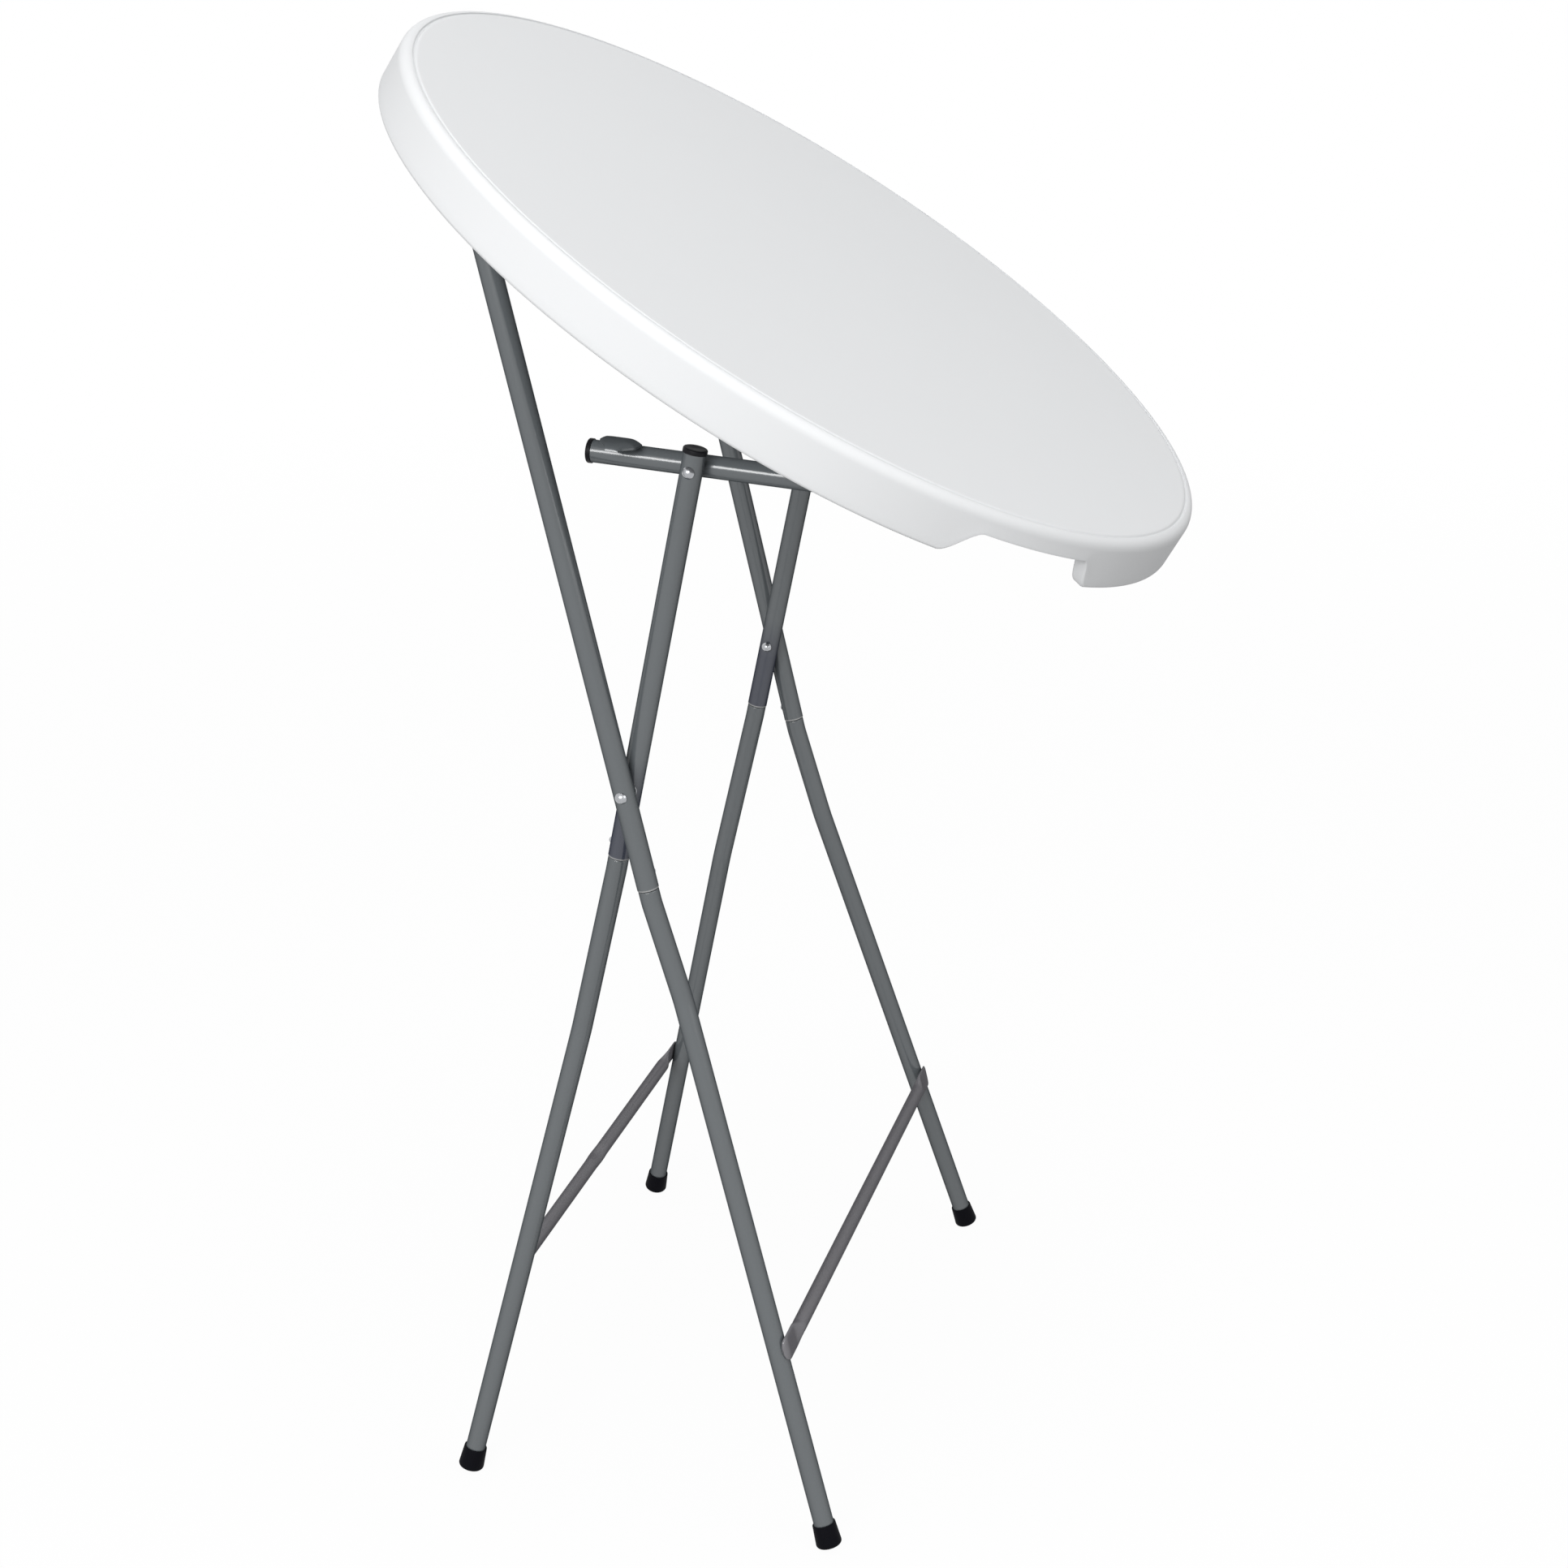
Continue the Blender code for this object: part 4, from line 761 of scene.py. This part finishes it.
def show_brace(name, leg, rise, hand, past_leg, settle, crimped, matrix, body):
    """A brace: an ellipse carried across the table, round between the legs and flat beside them.

    Past a leg its centre line wraps round the tube at a fixed radius, over its last stretch it
    settles towards the leg by a smooth step, and its nose is a quarter ellipse. Where it is
    flat, the sine and cosine of its ellipse are raised to a lower power, which squares it. The
    reach past a leg and the settling are pairs, front leg first. The hand is 1 on the +X side
    of the legs and -1 on the other."""
    foot, run = leg_line(leg, 1.0)[3:]
    axis = foot - run * rise
    place = np.linspace(-axis[1] - past_leg[0], axis[1] + past_leg[1], BRACE_RINGS)
    far = np.abs(place)
    reach = axis[1] + np.where(place < 0, past_leg[0], past_leg[1])
    settle = np.where(place < 0, settle[0], settle[1])
    blend = smooth((far - axis[1] + BRACE_FLAT_REACH + BRACE_TAPER) / BRACE_TAPER)
    half_x = BRACE_RADIUS + (BRACE_FLAT_THICKNESS / 2 - BRACE_RADIUS) * blend
    half_z = BRACE_RADIUS + (BRACE_FLAT_HEIGHT / 2 - BRACE_RADIUS) * blend
    into_nose = np.clip((far - reach) / BRACE_NOSE + 1.0, 0.0, 1.0)
    half_z = half_z * (BRACE_NOSE_END + (1 - BRACE_NOSE_END) * np.sqrt(1 - into_nose ** 2))
    if crimped:
        press = BRACE_CRIMP * (0.5 + 0.5 * np.cos(2 * math.pi * far / BRACE_CRIMP_LENGTH))
        press = np.where(far < BRACE_CRIMP_LENGTH / 2, press, 0.0)
        half_z = half_z * (1 - press)
        half_x = half_x * (1 + press / 2)
    wrap = LOWER_RADIUS + SEAT_GAP + BRACE_FLAT_THICKNESS / 2
    past = np.maximum(0.0, far - axis[1]) / wrap
    centre_x = wrap * np.cos(past) - settle * smooth((far - reach) / BRACE_SETTLE_RUN + 1.0)
    centre_y = np.sign(place) * (np.minimum(far, axis[1]) + wrap * np.sin(past))
    lean = np.sign(place) * past
    angle = np.linspace(0.0, 2 * math.pi, BRACE_SIDES, endpoint=False)
    power = 1.0 - BRACE_SQUARENESS * blend[:, None]
    out = np.sign(np.cos(angle)) * np.abs(np.cos(angle)) ** power * half_x[:, None]
    up = np.sign(np.sin(angle)) * np.abs(np.sin(angle)) ** power * half_z[:, None]
    points = np.stack([axis[0] + hand * (centre_x[:, None] + out * np.cos(lean)[:, None]),
                       centre_y[:, None] + out * np.sin(lean)[:, None], axis[2] + up], axis=-1)
    faces = capped_faces(BRACE_RINGS, BRACE_SIDES)
    if hand < 0:
        faces = [part[:, ::-1] for part in faces]
    ends = points[[0, -1]].mean(axis=1)
    points = np.concatenate([points.reshape(-1, 3), ends])
    # The whole bar is painted paler as painted light
    show(name + "_bar", points, faces, GREY, body, [name], TUBE_SHARP, matrix,
         {"brace": np.ones(len(points))})


# Knee links

def show_link(end, side):
    """A knee link with its bent end, its plug and its arched stop."""
    y = side * LINK_Y
    corner = np.array([0.0, y, 0.0])
    inward = corner - np.array([0.0, side * (ELBOW_RADIUS + ELBOW_LEAD + SEAT_GAP / 2), 0.0])
    tail = np.array([-LINK_LENGTH - LINK_TAIL, y, 0.0])
    path = rounded([tail, corner, inward], [ELBOW_RADIUS], ELBOW_STEPS)
    points, faces = walled_tube(path, np.full(len(path), UPPER_RADIUS), UPWARD)
    name = "knee_link_" + end
    show(name + "_tube", points, faces, GREY, "knee_links", [name], TUBE_SHARP,
         LINKS)
    show_plug("link_plug_" + end, tail - SIDEWAYS * SEAT_GAP / 2, -SIDEWAYS, "knee_links", LINKS)
    show_stop(end, side)


def show_stop(end, side):
    """The stop: a flat plate arched over a sine from the link to the plane of the leg.

    Its height over the link is the rise times sin(a), its reach across is -cos(a), its corners
    are drawn in near both feet, and it droops by a cube towards the elbow."""
    low = UPPER_RADIUS + SEAT_GAP
    half_span = STOP_SPAN / 2
    centre_y = side * (LINK_Y + half_span - STOP_FOOT_SHIFT)
    centre_x = -LINK_LENGTH - STOP_DISTANCE
    angle = np.linspace(0.0, math.pi, STOP_RINGS)
    across = -np.cos(angle)
    inset = np.maximum(0.0, half_span * np.abs(across) - half_span + STOP_CORNER)
    half_length = STOP_LENGTH / 2 - inset
    lengthwise = np.linspace(-1.0, 1.0, STOP_COLUMNS)
    rise = STOP_RISE - STOP_DROOP * np.maximum(0.0, lengthwise) ** 3
    skin = np.stack(np.broadcast_arrays(
        (centre_x - STOP_SKEW / 2 * across)[:, None] + half_length[:, None] * lengthwise,
        (centre_y + side * half_span * across)[:, None],
        low + rise * np.sin(angle)[:, None]), axis=-1)
    outward = np.stack([np.zeros_like(angle), side * -STOP_RISE * np.cos(angle),
                        half_span * np.sin(angle)], axis=-1)
    outward /= np.linalg.norm(outward, axis=1, keepdims=True)
    upper = skin + outward[:, None] * STOP_PLATE
    count = STOP_RINGS * STOP_COLUMNS
    points = np.concatenate([upper.reshape(-1, 3), skin.reshape(-1, 3)])
    quads = grid_faces(STOP_RINGS, STOP_COLUMNS, False, False)
    grid = np.arange(count).reshape(STOP_RINGS, STOP_COLUMNS)
    border = np.concatenate([grid[:-1, 0], grid[-1, :-1], grid[:0:-1, -1], grid[0, :0:-1]])
    following = np.roll(border, -1)
    rim = np.stack([border, following, following + count, border + count], axis=-1)
    faces = [quads, quads[:, ::-1] + count, rim[:, ::-1]]
    if side > 0:
        faces = [part[:, ::-1] for part in faces]
    name = "link_stop_" + end
    show(name + "_plate", points, faces, GREY, "knee_links", [name],
         PRESSED_SHARP, LINKS)


def show_cross_tube(name, leg_y, place, body, matrix):
    """A cross tube between the elbows of a frame."""
    half = leg_y - ELBOW_RADIUS - ELBOW_LEAD - SEAT_GAP / 2
    path = np.array([[0.0, -half, place], [0.0, half, place]])
    points, faces = walled_tube(path, np.full(2, UPPER_RADIUS), SIDEWAYS)
    show(name + "_bar", points, faces, GREY, body, [name], TUBE_SHARP, matrix)


# Bolts, washers, nuts and buttons

def dome(radius, height):
    """A cap of a ball, from its top down to its rim: (R sin a, h - R + R cos a)."""
    ball = (radius ** 2 + height ** 2) / (2 * height)
    angle = np.linspace(0.0, math.asin(radius / ball), DOME_STEPS)
    return np.stack([ball * np.sin(angle), height - ball + ball * np.cos(angle)], axis=1)


def show_turned(node, form, outline, finish, body, matrix):
    """A small turned piece, which stands for the node that it is named after."""
    points, faces = lathe(outline)
    show("%s_%s" % (node, form), points, faces, finish, body, [node], TURNED_SHARP, matrix)


def pin_end(depth):
    """The end of a shank or nut, from its rim at height 0 to a flat at the given height."""
    return [[BOLT_RADIUS, 0.0], [BOLT_RADIUS, depth], [0.0, depth]]


def show_fasteners():
    """Scissor bolts, knee bolts, their nuts and the washers between the tubes."""
    knee = np.array([0.0, 0.0, PIVOT_TO_KNEE])
    link_knee = np.array([-LINK_LENGTH, 0.0, 0.0])
    half = PIVOT_GAP / 2 - SEAT_GAP / 3
    bore = BOLT_RADIUS + RUNNING_GAP
    washer = [[WASHER_RADIUS, half], [WASHER_RADIUS, -half], [bore, -half], [bore, half]]
    head = dome(BOLT_HEAD_RADIUS, BOLT_HEAD_HEIGHT)
    cap = dome(NUT_RADIUS, NUT_HEIGHT)
    outer_seat = OUTER_LEG_Y + UPPER_RADIUS
    nut_seat = INNER_LEG_Y - UPPER_RADIUS
    inner_seat = INNER_LEG_Y + UPPER_RADIUS
    link_seat = LINK_Y - UPPER_RADIUS
    scissor_middle = (OUTER_LEG_Y + INNER_LEG_Y) / 2
    knee_middle = INNER_LEG_Y - LINK_SPACING / 2
    parting = knee_middle - PIVOT_GAP / 2
    scissor_bolt = np.concatenate([head, pin_end(nut_seat - outer_seat)])
    knee_bolt = np.concatenate([head, pin_end(parting - inner_seat)])
    scissor_nut = np.concatenate([cap, [[0.0, 0.0]]])
    knee_nut = np.concatenate([cap, pin_end(link_seat - parting)])
    for end, side in ENDS:
        out = np.array([0.0, side, 0.0])
        for node, form, outline, body, matrix in (
                ("scissor_bolt", "dome", scissor_bolt, "outer_frame",
                 OUTER @ along(out * outer_seat, out)),
                ("scissor_nut", "dome", scissor_nut, "outer_frame",
                 OUTER @ along(out * nut_seat, -out)),
                ("scissor_washer", "ring", washer, "outer_frame",
                 OUTER @ along(out * scissor_middle, out)),
                ("knee_bolt", "dome", knee_bolt, "inner_frame",
                 INNER @ along(out * inner_seat + knee, out)),
                ("knee_washer", "ring", washer, "inner_frame",
                 INNER @ along(out * knee_middle + knee, out)),
                ("knee_nut", "dome", knee_nut, "knee_links",
                 LINKS @ along(out * link_seat + link_knee, -out))):
            show_turned("%s_%s" % (node, end), form, outline, ZINC, body, matrix)


def button_facing(leg, side):
    """The way a snap button points: towards -X on two legs, turned to the back on the others."""
    if side * leg["lean"] > 0.0:
        return -SIDEWAYS
    turn = math.radians(BUTTON_TURN)
    return np.array([leg["lean"] * math.cos(turn), math.sin(turn), 0.0])


def show_buttons():
    """The snap buttons: round pins with domed ends."""
    root = UPPER_RADIUS - BUTTON_ROOT
    crown = UPPER_RADIUS + BUTTON_REACH - BUTTON_RADIUS
    outline = np.concatenate([
        dome(BUTTON_RADIUS, BUTTON_RADIUS * BUTTON_CROWN_SHARE) + [0.0, crown],
        [[BUTTON_RADIUS, root], [0.0, root]]])
    for group, leg, matrix in (("outer", OUTER_LEG, OUTER), ("inner", INNER_LEG, INNER)):
        for end, side in ENDS:
            mouth = leg_line(leg, side)[0]
            place = along(mouth + UPWARD * BUTTON_RISE, button_facing(leg, side))
            show_turned("%s_button_%s" % (group, end), "pin", outline, SPRING,
                        "%s_snap_%s" % (group, end), matrix @ place)


# Clamps under the top

def show_clamps():
    """The strap clamps with their screws: flat straps that drop under a tube in a half round."""
    inner = UPPER_RADIUS + RUNNING_GAP
    outer = inner + CLAMP_THICKNESS
    seat = HINGE_DEPTH - PANEL_DEPTH - CLAMP_SEAT_GAP
    flange = seat - CLAMP_THICKNESS
    reach = outer + CLAMP_FLANGE
    under = arc((0.0, 0.0), outer, 180.0, 360.0, CLAMP_STEPS)
    over = arc((0.0, 0.0), inner, 360.0, 180.0, CLAMP_STEPS)
    outline = np.concatenate([[[-reach, seat], [-reach, flange], [-outer, flange]], under,
                              [[outer, flange], [reach, flange], [reach, seat], [inner, seat]],
                              over, [[-inner, seat]]])
    lengthwise = np.linspace(-CLAMP_WIDTH / 2, CLAMP_WIDTH / 2, CLAMP_ROWS)
    sides = grid_faces(len(outline), CLAMP_ROWS, True, False)[:, ::-1]
    rim = np.arange(len(outline)) * CLAMP_ROWS
    cut_edges = np.stack([rim, rim[::-1] + CLAMP_ROWS - 1])
    head = np.concatenate([dome(SCREW_HEAD_RADIUS, SCREW_HEAD_HEIGHT), [[0.0, 0.0]]])
    for tube, x in (("hinge", 0.0), ("link", HINGE_SPACING)):
        for end, side in ENDS:
            y = side * CLAMP_STATION
            points = np.stack(np.broadcast_arrays(x + outline[:, :1], y + lengthwise[None],
                                                  outline[:, 1:]), axis=-1)
            name = "%s_clamp_%s" % (tube, end)
            show(name + "_strap", points.reshape(-1, 3), [sides, cut_edges], GREY, "top", [name],
                 TURNED_SHARP, TOP)
            for hand, turn in (("left", -1.0), ("right", 1.0)):
                place = [x + turn * (outer + CLAMP_FLANGE / 2), y, flange]
                show_turned("%s_clamp_screw_%s_%s" % (tube, end, hand), "head", head, ZINC,
                            "top", TOP @ along(place, -UPWARD))


def repaint_cad(names, finish):
    """CAD nodes that stay as they are, with this scene's finish."""
    for name in names:
        node = frame["nodes"][name]
        node.data.materials.clear()
        node.data.materials.append(finish)


show_top()
for end_name, end_side in ENDS:
    show_outer_upper_leg(end_name, end_side)
    show_inner_upper_leg(end_name, end_side)
    show_lower_leg("outer", OUTER_LEG, end_name, end_side, OUTER)
    show_lower_leg("inner", INNER_LEG, end_name, end_side, INNER)
    show_link(end_name, end_side)
show_cross_tube("hinge_cross_tube", OUTER_LEG_Y, PIVOT_TO_HINGE, "outer_frame", OUTER)
show_cross_tube("link_cross_tube", LINK_Y, 0.0, "knee_links", LINKS)
show_brace("outer_brace", OUTER_LEG, OUTER_BRACE_RISE, 1.0, (BRACE_OVERHANG, BRACE_OVERHANG),
           (0.0, 0.0), False, OUTER, "outer_frame")
show_brace("inner_brace", INNER_LEG, INNER_BRACE_RISE, -1.0, (INNER_BRACE_END, BRACE_OVERHANG),
           (INNER_BRACE_SETTLE, 0.0), True, INNER, "inner_frame")
show_fasteners()
show_buttons()
show_clamps()
repaint_cad(["%s_spring_%s" % (group, end) for group in ("outer", "inner") for end, _ in ENDS],
            SPRING)


# Studio

def add_lamp(name, place, size, height, energy):
    """An oblong area lamp that faces the middle of the table."""
    lamp = bpy.data.lights.new(name, "AREA")
    lamp.shape = "RECTANGLE"
    lamp.size = size
    lamp.size_y = height
    lamp.energy = energy
    holder = bpy.data.objects.new(name, lamp)
    bpy.context.scene.collection.objects.link(holder)
    facing = along(place, np.array(place) - np.array(LAMP_TARGET))
    holder.matrix_world = Matrix(facing.tolist())


def add_floor():
    """A wide pale floor that looks white and keeps a faint shadow of the table.

    Its white share grows with the distance from the table, so the far edge doesn't show."""
    mesh = bpy.data.meshes.new("studio_floor")
    corners = [(x * FLOOR_HALF, y * FLOOR_HALF, 0.0)
               for x, y in ((-1.0, -1.0), (1.0, -1.0), (1.0, 1.0), (-1.0, 1.0))]
    mesh.from_pydata(corners, [], [(0, 1, 2, 3)])
    floor = bpy.data.objects.new("studio_floor", mesh)
    bpy.context.scene.collection.objects.link(floor)
    finish = Finish("floor_white", (FLOOR_SEEN,) * 3, FLOOR_ROUGHNESS, Specular_IOR_Level=0.0)
    seen = finish.seen_plainly()
    finish.set("Base Color", seen * (FLOOR_SEEN - FLOOR_BOUNCE) + FLOOR_BOUNCE)
    distance = finish.add("VectorMath", {"operation": "LENGTH"}, {"Vector": finish.place()},
                          "Value")
    share = finish.spread(distance, FLOOR_FADE_START, FLOOR_FADE_END, FLOOR_WHITE_SHARE, 1.0)
    lit = Wire(finish, finish.shader.outputs[0])
    glow = finish.add("Emission", {}, {}, 0)
    surface = finish.add("MixShader", {}, {0: seen * share, 1: lit, 2: glow}, 0)
    finish.join(surface, finish.tree.nodes["Material Output"].inputs["Surface"])
    mesh.materials.append(finish.material)


def set_world():
    """A plain surround, white to camera, mirror and glass rays and softer as a light."""
    world = bpy.data.worlds.new("studio")
    bpy.context.scene.world = world
    world.use_nodes = True
    nodes = Nodes(world.node_tree)
    background = nodes.tree.nodes["Background"].inputs
    nodes.join((1.0, 1.0, 1.0), background["Color"])
    nodes.join(nodes.seen_plainly() * (1.0 - AMBIENT) + AMBIENT, background["Strength"])


def set_camera():
    """The photograph's viewpoint."""
    camera = bpy.data.cameras.new("camera")
    camera.lens = CAMERA_LENS
    camera.sensor_width = CAMERA_SENSOR
    camera.sensor_fit = "HORIZONTAL"
    holder = bpy.data.objects.new("camera", camera)
    bpy.context.scene.collection.objects.link(holder)
    azimuth, elevation = math.radians(CAMERA_AZIMUTH), math.radians(CAMERA_ELEVATION)
    roll = math.radians(CAMERA_ROLL)
    back = np.array([math.sin(azimuth) * math.cos(elevation),
                     -math.cos(azimuth) * math.cos(elevation), math.sin(elevation)])
    right = np.array([math.cos(azimuth), math.sin(azimuth), 0.0])
    up = np.cross(back, right)
    matrix = np.eye(4)
    matrix[:3, 0] = math.cos(roll) * right + math.sin(roll) * up
    matrix[:3, 1] = -math.sin(roll) * right + math.cos(roll) * up
    matrix[:3, 2] = back
    matrix[:3, 3] = CAMERA_PLACE
    holder.matrix_world = Matrix(matrix.tolist())
    bpy.context.scene.camera = holder


add_floor()
set_world()
set_camera()
add_lamp("key", (-0.49, -4.67, 2.41), size=2.8, height=1.5, energy=150.0)
add_lamp("fill", (4.30, -1.74, 2.57), size=2.6, height=2.6, energy=42.0)
add_lamp("overhead", (0.35, -0.60, 5.65), size=2.6, height=2.6, energy=92.0)
bpy.context.scene.view_settings.view_transform = "Standard"
